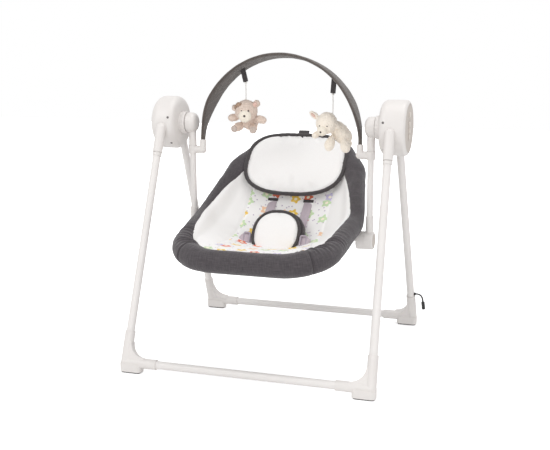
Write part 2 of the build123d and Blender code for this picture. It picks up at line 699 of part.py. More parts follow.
def bracket_block(grow):
    """The upright of the right bracket, from its disc to over the ring tube."""
    with BuildPart(mode=Mode.PRIVATE) as body:
        with BuildSketch(Plane.XY.offset(RECLINE_Z)):
            with Locations((ring_bend_x, RING_BEND_Y / 2)):
                RectangleRounded(CLAMP_D + 2 * grow, BRACKET_W + 2 * grow, BRACKET_CORNER)
        extrude(amount=clamp_top_z + grow - RECLINE_Z)
    return body.part


with BuildPart() as seat_brackets:
    add(disc(DISC_D, 0, RECLINE_Z, bracket_x - BRACKET_T, bracket_x))
    fillet(seat_brackets.edges().group_by(Axis.X)[0], DISC_ROUND)
    add(bracket_block(0))
    add(disc(PIVOT_D, 0, RECLINE_Z, bracket_x - PAST, disc_in_x + PIVOT_L))
    mirror(about=Plane.YZ)
    add(ring_solid(RING_D), mode=Mode.SUBTRACT)
finish(seat_brackets, "seat_brackets")


# Padded rim: the cover's roll around the ring tube
def bracket_room():
    """Both brackets' uprights with clearance, to be cut out of the padding."""
    with BuildPart(mode=Mode.PRIVATE) as body:
        add(bracket_block(FIT))
        mirror(about=Plane.YZ)
    return body.part


with BuildPart() as seat_rim:
    add(ring_solid(RIM_D, RING_D + 2 * FIT))
    add(bracket_room(), mode=Mode.SUBTRACT)
finish(seat_rim, "seat_rim")

# Dished seat: (y, height of the liner's middle); the edges follow the ring
seat_stations = [(-266, 301), (-222, 305), (-150, 298), (-60, 285), (10, 296), (60, 328),
                 (108, 378), (160, 444), (195, 482), (229, 508)]
EDGE_ABOVE_RING = 4.0


def ring_edge(y):
    """Half-width and height of the ring at a depth y."""
    sides = ring_points[1:5]
    for (x0, y0, z0), (x1, y1, z1) in zip(sides, sides[1:]):
        if y <= y1:
            share = (y - y0) / (y1 - y0)
            half, height = x0 + (x1 - x0) * share, z0 + (z1 - z0) * share
            break
    into_corner = max(RING_FRONT_R - (y - RING_FRONT_Y), 0)
    return half - RING_FRONT_R + sqrt(RING_FRONT_R ** 2 - into_corner ** 2), height


def dish(top_drop, bottom_drop, top_edge_drop, bottom_edge_drop):
    """A dished layer across the ring, between two depths below the liner's face."""
    with BuildPart(mode=Mode.PRIVATE) as body:
        for y, middle in seat_stations:
            half, ring_z = ring_edge(y)
            edge = ring_z + EDGE_ABOVE_RING
            top = (half, edge - top_edge_drop)
            low = (half, edge - bottom_edge_drop)
            with BuildSketch(Plane(origin=(0, y, 0), x_dir=(1, 0, 0), z_dir=(0, -1, 0))):
                with BuildLine():
                    ThreePointArc((-top[0], top[1]), (0, middle - top_drop), top)
                    Line(top, low)
                    ThreePointArc(low, (0, middle - bottom_drop), (-low[0], low[1]))
                    Line((-low[0], low[1]), (-top[0], top[1]))
                make_face()
        loft()
        add(ring_solid(RIM_D + 2 * FIT), mode=Mode.SUBTRACT)
        add(bracket_room(), mode=Mode.SUBTRACT)
    return body.part


with BuildPart() as seat_liner:
    add(dish(0, LINER_T, 0, LINER_EDGE_T))
finish(seat_liner, "seat_liner")

with BuildPart() as seat_sling:
    add(dish(LINER_T + FIT, LINER_T + FIT + SLING_T, LINER_EDGE_T + FIT, LINER_EDGE_T + FIT + SLING_T))
finish(seat_sling, "seat_sling")


def cushion(middle, lean_deg, width, height, thick, corner):
    """A stuffed pad: full in the middle, drawn in towards its sewn edge."""
    lean = radians(lean_deg)
    face = Plane(origin=middle, x_dir=(1, 0, 0), z_dir=(0, -sin(lean), cos(lean)))
    layers = ((-0.5, 0.36), (-0.36, 0.16), (0, 0), (0.36, 0.16), (0.5, 0.36))
    with BuildPart(mode=Mode.PRIVATE) as body:
        for level, drawn_in in layers:
            inset = drawn_in * thick * 2
            with BuildSketch(face.offset(level * thick)):
                RectangleRounded(width - 2 * inset, height - 2 * inset, corner - inset)
        loft()
    return body.part


pillow_up = Vector(0, cos(radians(PILLOW_DEG)), sin(radians(PILLOW_DEG)))
tab_plane = Plane(origin=Vector(0, PILLOW_Y, PILLOW_Z) + pillow_up * (PILLOW_H / 2 - PILLOW_TAB_SEWN),
                  x_dir=(1, 0, 0), z_dir=pillow_up)
with BuildPart() as head_pillow:
    add(cushion((0, PILLOW_Y, PILLOW_Z), PILLOW_DEG, PILLOW_W, PILLOW_H, PILLOW_T, pillow_corner))
    with BuildSketch(tab_plane):
        Rectangle(PILLOW_TAB_W, PILLOW_TAB_T)
    extrude(amount=PILLOW_TAB_L)
    add(seat_liner.part, mode=Mode.SUBTRACT)
    add(ring_solid(RIM_D + 2 * FIT), mode=Mode.SUBTRACT)
finish(head_pillow, "head_pillow")

with BuildPart() as crotch_pad:
    add(cushion((0, CROTCH_Y, CROTCH_Z), CROTCH_DEG, CROTCH_W, CROTCH_H, CROTCH_T, crotch_corner))
    add(seat_liner.part, mode=Mode.SUBTRACT)
finish(crotch_pad, "crotch_pad")

# Harness: straps from the backrest and the sides meet the crotch pad
shoulder_route = [(124, 392), (62, 344), (24, 318), (-16, 317)]
waist_route = [(40, 306), (94, 302.5), (148, 319)]


def strap(route, plane, side):
    """A flat strap that runs in one plane, its width square to it."""
    with BuildPart(mode=Mode.PRIVATE) as body:
        with BuildLine(plane) as path:
            FilletPolyline(*route, radius=STRAP_BEND_R)
        line = path.wires()[0]
        with BuildSketch(Plane(origin=line @ 0, x_dir=side, z_dir=line % 0)):
            Rectangle(STRAP_W, STRAP_T)
        sweep(path=line)
    return body.part


waist_plane = Plane(origin=(0, WAIST_Y, 0), x_dir=(1, 0, 0), z_dir=(0, -1, 0))
for name, route, plane, side in (
        ("shoulder_straps", shoulder_route, Plane.YZ.offset(STRAP_X), (1, 0, 0)),
        ("waist_straps", waist_route, waist_plane, (0, 1, 0))):
    with BuildPart() as straps:
        add(strap(route, plane, side))
        mirror(about=Plane.YZ)
        add(seat_liner.part, mode=Mode.SUBTRACT)
        add(crotch_pad.part, mode=Mode.SUBTRACT)
    finish(straps, name)

# The buckle sits behind the crotch pad, its button towards the child
pad_out = Vector(0, -sin(radians(CROTCH_DEG)), cos(radians(CROTCH_DEG)))
pad_up = Vector(0, pad_out.Z, -pad_out.Y)
buckle_plane = Plane(origin=Vector(0, CROTCH_Y, CROTCH_Z) - pad_out * (CROTCH_T / 2) + pad_up * BUCKLE_UP,
                     x_dir=(1, 0, 0), z_dir=-pad_out)
with BuildPart() as harness_buckle:
    with BuildSketch(buckle_plane):
        RectangleRounded(BUCKLE_W, BUCKLE_H, BUCKLE_CORNER)
    extrude(amount=BUCKLE_T)
    outwards = Axis(buckle_plane.origin, buckle_plane.z_dir)
    fillet(harness_buckle.edges().group_by(outwards)[-1], BUCKLE_EDGE)
    with BuildSketch(buckle_plane.offset(BUCKLE_T)):
        Circle(BUCKLE_BUTTON_D / 2 + FIT)
    extrude(amount=-(BUCKLE_BUTTON_L - BUCKLE_BUTTON_PROUD + BUCKLE_BUTTON_TRAVEL), mode=Mode.SUBTRACT)
finish(harness_buckle, "harness_buckle")

with BuildPart() as buckle_button:
    with BuildSketch(buckle_plane.offset(BUCKLE_T + BUCKLE_BUTTON_PROUD)):
        Circle(BUCKLE_BUTTON_D / 2)
    extrude(amount=-BUCKLE_BUTTON_L)
finish(buckle_button, "buckle_button")

# Toy bar: clips on the arms, elbows that turn on their pegs, and a padded arch
bar_up = Vector(0, sin(radians(TOY_LEAN)), cos(radians(TOY_LEAN)))
bar_plane = Plane(origin=(0, 0, toy_z), x_dir=(1, 0, 0), z_dir=(0, -bar_up.Z, bar_up.Y))
peg_end_x = ARCH_HALF + ELBOW_D / 2 + FIT
with BuildPart() as toy_bar_clips:
    add(pipe(Vector(arm_x, 0, toy_z - CLIP_H / 2), Vector(arm_x, 0, toy_z + CLIP_H / 2), CLIP_D))
    add(disc(CLIP_PEG_D, 0, toy_z, peg_end_x, arm_x))
    add(disc(PEG_PIN_D, 0, toy_z, ARCH_HALF, arm_x))
    add(pipe(Vector(arm_x, 0, toy_z - CLIP_H), Vector(arm_x, 0, toy_z + CLIP_H), ARM_D),
        mode=Mode.SUBTRACT)
    mirror(about=Plane.YZ)
finish(toy_bar_clips, "toy_bar_clips")


def on_bar(x, up):
    """A point in the toy bar's own plane."""
    return Vector(x, 0, toy_z) + bar_up * up


with BuildPart() as toy_bar_elbows:
    with Locations(on_bar(ARCH_HALF, 0)):
        Sphere(ELBOW_D / 2)
    add(disc(ELBOW_D, 0, toy_z, ARCH_HALF, ARCH_HALF + ELBOW_D / 2))
    add(pipe(on_bar(ARCH_HALF, 0), on_bar(ARCH_HALF, ELBOW_RISE), ELBOW_NECK_D))
    add(disc(PEG_PIN_D + 2 * RUN, 0, toy_z, ARCH_HALF - FIT, ARCH_HALF + ELBOW_D), mode=Mode.SUBTRACT)
    with BuildSketch(square_to(on_bar(ARCH_HALF, ELBOW_RISE), bar_up)):
        Rectangle(TONGUE_T, TONGUE_W)
    extrude(amount=-TONGUE_L, mode=Mode.SUBTRACT)
    mirror(about=Plane.YZ)
finish(toy_bar_elbows, "toy_bar_elbows")

side_plane = Plane(origin=(0, 0, toy_z), x_dir=(0, bar_up.Z, -bar_up.Y), z_dir=(1, 0, 0))
arch_top = ELBOW_RISE + ARCH_RISE + ARCH_T
wide_from = ELBOW_RISE + ARCH_WIDENS_OVER
with BuildPart() as toy_arch:
    with BuildSketch(bar_plane):
        with Locations((0, ELBOW_RISE)):
            Ellipse(ARCH_HALF + ARCH_T / 2, ARCH_RISE + ARCH_T / 2)
            Ellipse(ARCH_HALF - ARCH_T / 2, ARCH_RISE - ARCH_T / 2, mode=Mode.SUBTRACT)
            Rectangle(3 * ARCH_HALF, 2 * ARCH_RISE, align=(Align.CENTER, Align.MAX), mode=Mode.SUBTRACT)
    extrude(amount=ARCH_WIDE_W / 2, both=True)
    with BuildSketch(side_plane):
        with BuildLine():
            Polyline((-ARCH_END_W / 2, ELBOW_RISE), (ARCH_END_W / 2, ELBOW_RISE),
                     (ARCH_WIDE_W / 2, wide_from), (ARCH_WIDE_W / 2, arch_top),
                     (-ARCH_WIDE_W / 2, arch_top), (-ARCH_WIDE_W / 2, wide_from), close=True)
        make_face()
    extrude(amount=2 * ARCH_HALF, both=True, mode=Mode.INTERSECT)
    with BuildSketch(square_to(on_bar(ARCH_HALF, ELBOW_RISE), bar_up)):
        Rectangle(TONGUE_T, TONGUE_W)
    extrude(amount=-TONGUE_L)
    with BuildSketch(square_to(on_bar(-ARCH_HALF, ELBOW_RISE), bar_up)):
        Rectangle(TONGUE_T, TONGUE_W)
    extrude(amount=-TONGUE_L)
finish(toy_arch, "toy_arch")


def under_arch(x):
    """Where the band's underside is, above a given x."""
    inner_half = ARCH_HALF - ARCH_T / 2
    inner_rise = ARCH_RISE - ARCH_T / 2
    return on_bar(x, ELBOW_RISE + inner_rise * sqrt(1 - (x / inner_half) ** 2))


toy_places = {"bear": LEFT_TOY_X, "lamb": RIGHT_TOY_X}
with BuildPart() as toy_tabs:
    for x in toy_places.values():
        with Locations(under_arch(x)):
            Box(TAB_W, TAB_T, 2 * TAB_L)
    add(toy_arch.part, mode=Mode.SUBTRACT)
    with BuildSketch(bar_plane):
        with Locations((0, ELBOW_RISE)):
            Ellipse(ARCH_HALF, ARCH_RISE)
    extrude(amount=ARCH_WIDE_W, both=True, mode=Mode.INTERSECT)
finish(toy_tabs, "toy_tabs")


def egg(base, tip, girth, fullest):
    """A stuffed form between two ends, round across and fullest at a share of its length."""
    spread = log(0.5) / log(fullest)
    with BuildPart(mode=Mode.PRIVATE) as body:
        for level in STUFFED_LEVELS:
            middle = base + (tip - base) * level ** (1 / spread)
            radius = girth * sqrt(level * (1 - level))
            with BuildSketch(Plane(origin=middle, z_dir=tip - base)):
                with BuildLine():
                    for third in range(3):
                        CenterArc((0, 0), radius, third * 120, 120)
                make_face()
        loft()
    return body.part


def plush(name, knot, cord_length, parts):
    """Write a toy's knot, cord, head, body, arms and legs, each cut by the larger ones."""
    with BuildPart() as toy_knot:
        with Locations(knot):
            Sphere(KNOT_D / 2)
    finish(toy_knot, f"{name}_knot")
    cord_top = knot - Vector(0, 0, KNOT_D / 2 + FIT)
    crown = cord_top - Vector(0, 0, cord_length)
    with BuildPart() as toy_cord:
        add(pipe(cord_top, crown, TOY_CORD_D))
    finish(toy_cord, f"{name}_cord")

    larger = []
    for piece, forms in parts.items():
        with BuildPart() as toy_piece:
            for base, tip, girth, fullest in forms:
                add(egg(crown + Vector(*base), crown + Vector(*tip), girth, fullest))
            for form in larger:
                add(form, mode=Mode.SUBTRACT)
        finish(toy_piece, f"{name}_{piece}")
        larger.append(toy_piece.part)


# Forms as (base, tip, girth, where fullest), from the crown, with the front towards -Y
bear_forms = {
    "head": [((1, 0, -55), (0, 0, 0), 58, 0.45), ((-17, -4, -20), (-36, -8, -22), 17, 0.6),
             ((18, 4, -22), (34, 4, -3), 18, 0.6)],
    "body": [((0, 40, -76), (0, 14, -32), 48, 0.45)],
    "arms": [((-18, 16, -46), (-48, -6, -48), 20, 0.62), ((18, 16, -46), (56, -8, -54), 20, 0.6)],
    "legs": [((-12, 34, -64), (-32, -8, -76), 22, 0.65), ((12, 34, -64), (20, -8, -78), 22, 0.65)],
}
lamb_forms = {
    "head": [((-26, -10, -48), (-3, 1, 2.2), 53, 0.5), ((-34, -2, -14), (-60, 0, 5), 15, 0.55),
             ((0, 4, -14), (16, -2, -37), 14, 0.6)],
    "body": [((38, 26, -74), (-10, 18, -20), 44, 0.42)],
    "arms": [((-30, 0, -42), (-46, -20, -58), 17, 0.62), ((0, 6, -50), (-7, -22, -90), 25, 0.66)],
    "legs": [((24, 10, -56), (40, -12, -94), 25, 0.66), ((26, 30, -60), (34, 44, -88), 22, 0.6)],
}
for name, cord_length, forms in (("bear", LEFT_CORD_L, bear_forms), ("lamb", RIGHT_CORD_L, lamb_forms)):
    knot = under_arch(toy_places[name]) - Vector(0, 0, TAB_L + FIT + KNOT_D / 2)
    plush(name, knot, cord_length, forms)

# Power lead: a grommet in the right rear leg, a short lead and its connector
lead_start_x = lead_at.X + LEG_D / 2 + GROMMET_L
with BuildPart() as lead_grommet:
    add(disc(GROMMET_D, lead_at.Y, lead_at.Z, lead_at.X + LEG_D / 2 - PAST, lead_start_x))
    add(pipe(rear_corner, rear_leg_end, LEG_D), mode=Mode.SUBTRACT)
finish(lead_grommet, "lead_grommet")

lead_points = [(0, 0, 0), (9, 0, 0), (16, 1.5, -5), (19.5, 3, -13.5), (20.5, 3.5, -22)]
lead_route = [Vector(lead_start_x, lead_at.Y, lead_at.Z) + Vector(*point) for point in lead_points]
lead_runs = [after - before for before, after in zip(lead_route, lead_route[1:])]
lead_radii = [0.45 * min(run.length, next_run.length) / tan(radians(run.get_angle(next_run) / 2))
              for run, next_run in zip(lead_runs, lead_runs[1:])]
with BuildPart() as power_lead:
    with BuildLine() as lead_path:
        FilletPolyline(*lead_route, radius=lead_radii)
    lead_wire = lead_path.wires()[0]
    with BuildSketch(square_to(lead_wire @ 0, lead_wire % 0)):
        Circle(LEAD_D / 2)
    sweep(path=lead_wire)
finish(power_lead, "power_lead")
print("lead radii", [round(radius, 1) for radius in lead_radii], "length", round(lead_wire.length, 1))
print("lead volume", round(power_lead.part.volume, 1), "section times length",
      round(lead_wire.length * pi * LEAD_D ** 2 / 4, 1))

with BuildPart() as power_connector:
    with BuildSketch(square_to(lead_wire @ 1, lead_wire % 1)):
        Circle(CONNECTOR_D / 2)
    extrude(amount=CONNECTOR_L)
    fillet(power_connector.edges().group_by(Axis.Z)[-1], CONNECTOR_EDGE)
finish(power_connector, "power_connector")
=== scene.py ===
# %% [markdown]
# # A baby swing, dressed on its CAD frame
# The stand, the drums, the arms and the seat's ring come from CAD as a fixed frame. This lesson gives
# each of them its finish, and sews, fills and ties the soft pieces that CAD only blocks out. The frame is
# loaded first.

# %% Load the frame
import json
import math

import bmesh
import bpy
import numpy as np
from mathutils import Matrix, Vector, noise


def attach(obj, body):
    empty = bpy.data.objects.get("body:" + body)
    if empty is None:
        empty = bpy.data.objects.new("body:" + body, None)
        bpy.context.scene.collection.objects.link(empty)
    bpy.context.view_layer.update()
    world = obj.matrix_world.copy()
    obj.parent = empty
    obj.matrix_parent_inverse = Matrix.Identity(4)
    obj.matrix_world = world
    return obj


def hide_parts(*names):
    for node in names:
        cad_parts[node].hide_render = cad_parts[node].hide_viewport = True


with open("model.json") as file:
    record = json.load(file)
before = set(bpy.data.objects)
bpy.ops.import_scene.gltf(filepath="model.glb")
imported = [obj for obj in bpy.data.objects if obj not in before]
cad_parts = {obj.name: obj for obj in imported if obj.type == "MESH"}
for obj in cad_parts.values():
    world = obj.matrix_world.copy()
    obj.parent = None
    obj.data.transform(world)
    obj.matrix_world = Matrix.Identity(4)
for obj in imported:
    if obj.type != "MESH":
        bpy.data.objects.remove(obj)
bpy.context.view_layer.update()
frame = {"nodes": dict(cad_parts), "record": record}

scene = bpy.context.scene
MM = 0.001

# %% [markdown]
# ## Camera
# The photograph was taken from the front, a little to the swing's left and a little above the seat. A camera
# is placed by its azimuth, elevation and distance from one aim point. The focal length and the middle of
# the view were measured in pixels of a 550 by 450 picture, and become a lens and a small shift.

# %% Camera
PICTURE = (550, 450)
FOCAL_PIXELS = 902.9
MIDDLE_PIXELS = (280.2, 235.8)
AIM = Vector((0.0, 0.006, 0.300))
AZIMUTH, ELEVATION, ROLL = (math.radians(angle) for angle in (17.45, 12.35, 0.17))
DISTANCE = 2.360

camera_data = bpy.data.cameras.new("photo_camera")
camera = bpy.data.objects.new("photo_camera", camera_data)
scene.collection.objects.link(camera)
scene.camera = camera
camera_data.sensor_width = 36.0
camera_data.sensor_fit = "HORIZONTAL"
camera_data.lens = FOCAL_PIXELS / PICTURE[0] * camera_data.sensor_width
camera_data.shift_x = (PICTURE[0] / 2 - MIDDLE_PIXELS[0]) / PICTURE[0]
camera_data.shift_y = (MIDDLE_PIXELS[1] - PICTURE[1] / 2) / PICTURE[0]
towards_camera = Vector((
    math.sin(AZIMUTH) * math.cos(ELEVATION),
    -math.cos(AZIMUTH) * math.cos(ELEVATION),
    math.sin(ELEVATION),
))
camera.location = AIM + DISTANCE * towards_camera
level = towards_camera.to_track_quat("Z", "Y").to_matrix()
camera.rotation_euler = (level @ Matrix.Rotation(-ROLL, 3, "Z")).to_euler()
scene.view_settings.view_transform = "Standard"
print("camera at", [round(value, 3) for value in camera.location], "lens", round(camera_data.lens, 1))

# %% [markdown]
# ## Colours and nodes
# Colours are written as they look on a screen, in sRGB hex, and Blender's shaders work in linear light, so
# one function turns one into the other. A second small function adds any node with its settings and
# links; a node given as an input stands for its first output. A finish is then begun with the numbers of its
# shader, and most end in the same way: a share mixes two tones of one colour, and a height becomes a bump of
# a given depth.

# %% Colour and node helpers
def colour(text):
    parts = [int(text[place:place + 2], 16) / 255 for place in (1, 3, 5)]
    return tuple(p / 12.92 if p <= 0.04045 else ((p + 0.055) / 1.055) ** 2.4 for p in parts) + (1.0,)


def add(tree, kind, inputs=None, **settings):
    node = tree.nodes.new("ShaderNode" + kind)
    for name, value in settings.items():
        setattr(node, name, value)
    for key, value in (inputs or {}).items():
        if isinstance(value, bpy.types.Node):
            value = value.outputs[0]
        if isinstance(value, bpy.types.NodeSocket):
            tree.links.new(value, node.inputs[key])
        else:
            node.inputs[key].default_value = value
    return node


def finish(name, **sockets):
    material = bpy.data.materials.new(name)
    material.use_nodes = True
    tree = material.node_tree
    shader = tree.nodes["Principled BSDF"]
    for key, value in sockets.items():
        shader.inputs[key.replace("_", " ").title().replace("Ior", "IOR")].default_value = value
    return material, tree, shader


def wear(tree, shader, share, first, second, height, strength, depth_mm):
    tone = add(tree, "Mix", {0: share, 6: colour(first), 7: colour(second)}, data_type="RGBA")
    bump = add(tree, "Bump", {"Height": height, "Strength": strength, "Distance": depth_mm * MM})
    tree.links.new(tone.outputs[2], shader.inputs["Base Color"])
    tree.links.new(bump.outputs[0], shader.inputs["Normal"])
    return tone.outputs[2]


print("helpers ready; mid grey in linear light:", round(colour("#808080")[0], 3))

# %% [markdown]
# ## Hard finishes
# The tubes are steel, sprayed with powder and baked: the coat melts into a faint orange peel that blurs
# reflections. The drums and sockets are moulded ABS with a fine spark-eroded grain. Both need the same
# nodes, a soft change of tone over the length of a hand and a fine bump, so one function makes them with
# each material's own numbers. The grain of a mould is finer than a pixel here, so it is drawn coarser.

# %% Moulded and coated surfaces
def coated(name, light, dark, grain_mm, grain_depth_mm, tone_mm=70.0, **sockets):
    material, tree, shader = finish(name, **sockets)
    place = add(tree, "TexCoord").outputs["Object"]
    tone = add(tree, "TexNoise", {"Vector": place, "Scale": 1 / (tone_mm * MM), "Detail": 3.0})
    grain = add(tree, "TexNoise", {"Vector": place, "Scale": 1 / (grain_mm * MM), "Detail": 2.0})
    wear(tree, shader, tone, light, dark, grain, 0.6, grain_depth_mm)
    return material


# Baked powder on steel: bright white, with a soft wide highlight along the tube.
powder_coat = coated("powder_coated_steel", "#eae6e4", "#e4e0dd", 2.2, 0.05, Roughness=0.34, IOR=1.5)
# Moulded ABS: warm white, satin, a little waxy where the light grazes it.
white_abs = coated("moulded_white_abs", "#e5e1de", "#dfdad7", 1.6, 0.04, Roughness=0.38, IOR=1.53)
# Grey ABS: the warm grey of the panel and of the discs at the recline joints.
grey_abs = coated("moulded_grey_abs", "#c9c0b8", "#bfb5ac", 1.6, 0.05, Roughness=0.45, IOR=1.53)
# Nylon of the strap sliders: lilac grey, like the webbing, with a dull shine.
lilac_nylon = coated("moulded_lilac_nylon", "#aaa0ab", "#9c929e", 1.4, 0.04, Roughness=0.45, IOR=1.53)
# Silicone keys: pale and matt, with a skin that catches a broad soft light.
silicone = coated("moulded_silicone", "#e3dcd5", "#d8d0c8", 1.2, 0.03, Roughness=0.55, IOR=1.43)
# Black rubber of the foot pads: dull, its tone changing at random.
rubber = coated("moulded_rubber", "#33302f", "#272525", 1.4, 0.10, 20.0, Roughness=0.75, IOR=1.52)
# Zinc-plated steel of screws, pins and the ring: a cool grey mirror, blurred by the plating.
zinc_steel = coated("zinc_plated_steel", "#c6c8ca", "#a9acb0", 1.5, 0.02, 12.0, Metallic=1.0, Roughness=0.32)
# Steel of the drums' screws, darkened to a dark grey that is painted shade of the deep hole it sits in.
screw_steel_painted_hole_shade = coated("steel_darkened_as_hole_shade", "#777473", "#656261", 1.2, 0.02, 6.0, Metallic=1.0, Roughness=0.5)
# Acetal of the bushes and plugs: milky and slippery.
acetal = coated("moulded_acetal", "#e9e6e0", "#dfdbd4", 1.8, 0.03, Roughness=0.3, IOR=1.48)
# Enamelled copper wire, wound: reddish, with the ripple of the turns.
copper_wire = coated("wound_copper_wire", "#b8764a", "#8e5431", 1.0, 0.25, 8.0, Metallic=1.0, Roughness=0.38)
# Board laminate under a green mask: half gloss.
board_laminate = coated("masked_board_laminate", "#2f6b45", "#275a3a", 2.0, 0.06, 9.0, Roughness=0.4,
                        IOR=1.55)
# Black moulded ABS of the buckle, the speaker and the connector.
black_abs = coated("moulded_black_abs", "#2b292a", "#211f20", 1.4, 0.05, Roughness=0.42, IOR=1.53)
# Soft vinyl of the lead: black, a little greasy in its highlight.
vinyl = coated("extruded_black_vinyl", "#1d1c1d", "#262425", 1.8, 0.03, 15.0, Roughness=0.36, IOR=1.52)
print("hard finishes:", len(bpy.data.materials))

# %% [markdown]
# ## Woven and knitted finishes
# The roll, the sling and the toy bar's band wear a charcoal melange: light and dark yarns twisted together,
# so that no two threads are the same grey. Two noises, each stretched along one thread direction, give the
# yarns their tones, and two sine waves crossed at right angles give the weave. Thread spacing is a real
# size measured in the pieces' own UV, which is in metres. Real threads of a third of a millimetre would be
# lost in the picture, so they are drawn about three times as coarse.

# %% Woven finishes
def woven(name, dark, light, thread_mm, depth_mm, streak=9.0, contrast=0.5, **sockets):
    material, tree, shader = finish(name, **sockets)
    flat = add(tree, "TexCoord").outputs["UV"]
    apart = add(tree, "SeparateXYZ", {0: flat})
    thread = thread_mm * MM
    threads, waves = [], []
    for axis, stretch in ((0, (1.0, 1 / streak, 1.0)), (1, (1 / streak, 1.0, 1.0))):
        along = add(tree, "Mapping", {"Vector": flat, "Scale": stretch})
        yarn = add(tree, "TexNoise", {"Vector": along, "Scale": 0.5 / thread, "Detail": 2.0})
        threads.append(yarn)
        turn = add(tree, "Math", {0: apart.outputs[axis], 1: math.pi / thread}, operation="MULTIPLY")
        waves.append(add(tree, "Math", {0: turn}, operation="SINE"))
    crossed = add(tree, "Math", {0: waves[0], 1: waves[1]}, operation="MULTIPLY")
    over = add(tree, "MapRange", {"Value": crossed, 1: -0.3, 2: 0.3})
    pick = add(tree, "Mix", {0: over, 2: threads[0], 3: threads[1]})
    spread = add(tree, "MapRange", {"Value": pick, 1: 0.5 - contrast / 2, 2: 0.5 + contrast / 2})
    height = add(tree, "Math", {0: crossed, 1: pick}, operation="ADD")
    wear(tree, shader, spread, dark, light, height, 0.7, depth_mm)
    return material


# Melange weave: soft charcoal with lighter flecks, and a dusty bloom where it turns away from the eye.
melange = woven("woven_charcoal_melange", "#353135", "#5a5457", 1.1, 0.25, Roughness=0.85, Sheen_Weight=0.3,
                Sheen_Roughness=0.4)
# The band on the toy bar: the same yarn, brushed, so it is lighter and catches more light.
brushed_melange = woven("brushed_charcoal_melange", "#413b39", "#675e58", 1.1, 0.2, Roughness=0.8,
                        Sheen_Weight=0.3, Sheen_Roughness=0.45)
# Brushed cotton jersey: warm white, matt, with fine knit ribs.
cotton = woven("knitted_white_cotton", "#f3f1f0", "#fbfaf9", 1.2, 0.15, 5.0, 0.9, Roughness=0.9,
               Sheen_Weight=0.2, Sheen_Roughness=0.6)
# Binding tape: dark brown-grey twill, folded over the edges.
binding = woven("woven_dark_binding", "#353133", "#4a4546", 0.9, 0.2, Roughness=0.8, Sheen_Weight=0.2)
# Polyester webbing: lilac grey with clear ribs across it.
webbing = woven("woven_lilac_webbing", "#b4a6b0", "#cdc0c9", 1.3, 0.35, 4.0, 0.7, Roughness=0.6,
                Sheen_Weight=0.2)
# Twisted polyester cord: off white.
white_cord = woven("twisted_white_cord", "#dcd8d2", "#f2efea", 0.8, 0.2, 4.0, 0.8, Roughness=0.7)
print("fabrics:", [material.name for material in (melange, cotton, webbing)])

# %% [markdown]
# ## Plush and thread
# The toys are short-pile plush: fibres a millimetre or two long stand in tufts, so the surface looks
# soft, mottled and bright at its edges. A fine noise drives both the tone and a bump, and sheen gives the
# halo. The faces are stitched with embroidery thread, which shines along its strands.

# %% Plush and embroidery
TUFT, PILE_DEPTH = 2.2, 0.8


def plush(name, dark, light):
    material, tree, shader = finish(name, Roughness=0.95, Sheen_Weight=0.7, Sheen_Roughness=0.4)
    place = add(tree, "TexCoord").outputs["Object"]
    tuft = add(tree, "TexNoise", {"Vector": place, "Scale": 1 / (TUFT * MM), "Detail": 4.0, "Roughness": 0.7})
    spread = add(tree, "MapRange", {"Value": tuft, 1: 0.3, 2: 0.7})
    wear(tree, shader, spread, dark, light, tuft, 0.8, PILE_DEPTH)
    return material


# Plush: mottled and bright at its edges, rosy on the bear, ivory on the lamb, with darker or paler patches.
bear_plush = plush("short_pile_rosy_plush", "#d3bcae", "#ecdccf")
# Brown plush used as painted shade: a dark patch along the fold where the bear's left ear turns over.
fold_shade_plush = plush("brown_plush_painted_fold_shade", "#8f735f", "#c0a48f")
muzzle_plush = plush("short_pile_cream_plush", "#ebe0cf", "#f8f1e4")
lamb_plush = plush("curly_pile_ivory_plush", "#f0e4d4", "#fdf5ea")
sole_plush = plush("short_pile_grey_plush", "#b9a9a0", "#d6c8be")
ear_plush = plush("short_pile_rose_plush", "#dcb4a6", "#ecccbf")
# Embroidery thread: dark brown rayon, glossy along the stitch.
thread = woven("stitched_brown_thread", "#2a2120", "#4a3a36", 0.6, 0.2, 6.0, Roughness=0.4)
print("plush: tufts", TUFT, "mm wide")

# %% [markdown]
# ## Printed cotton
# The middle of the liner is printed with a small all-over nursery pattern: flat pastel flowers and
# sprinkled dots on white, about as large as a biscuit. Voronoi cells place one flower each; the angle
# around the cell's point bends its edge into petals, and the cell's random colour picks an ink. The side
# panels are plain: their UV is laid out beside the printed panel, as a cutter lays pieces on a cloth, beyond
# a first number where no ink is put down.

# %% Printed cotton
PRINT_HALF = 200.0
PRINT_CELL = 44.0
PETAL_REACH = 14.5
DOT_CELL, DOT_R = 19.0, 2.2
COTTON_YARN = 1.6
INKS = (("#e4704f", 0.0), ("#f2cb55", 0.18), ("#c9dfb4", 0.44), ("#c8bfe0", 0.62), ("#f3c9a6", 0.82))


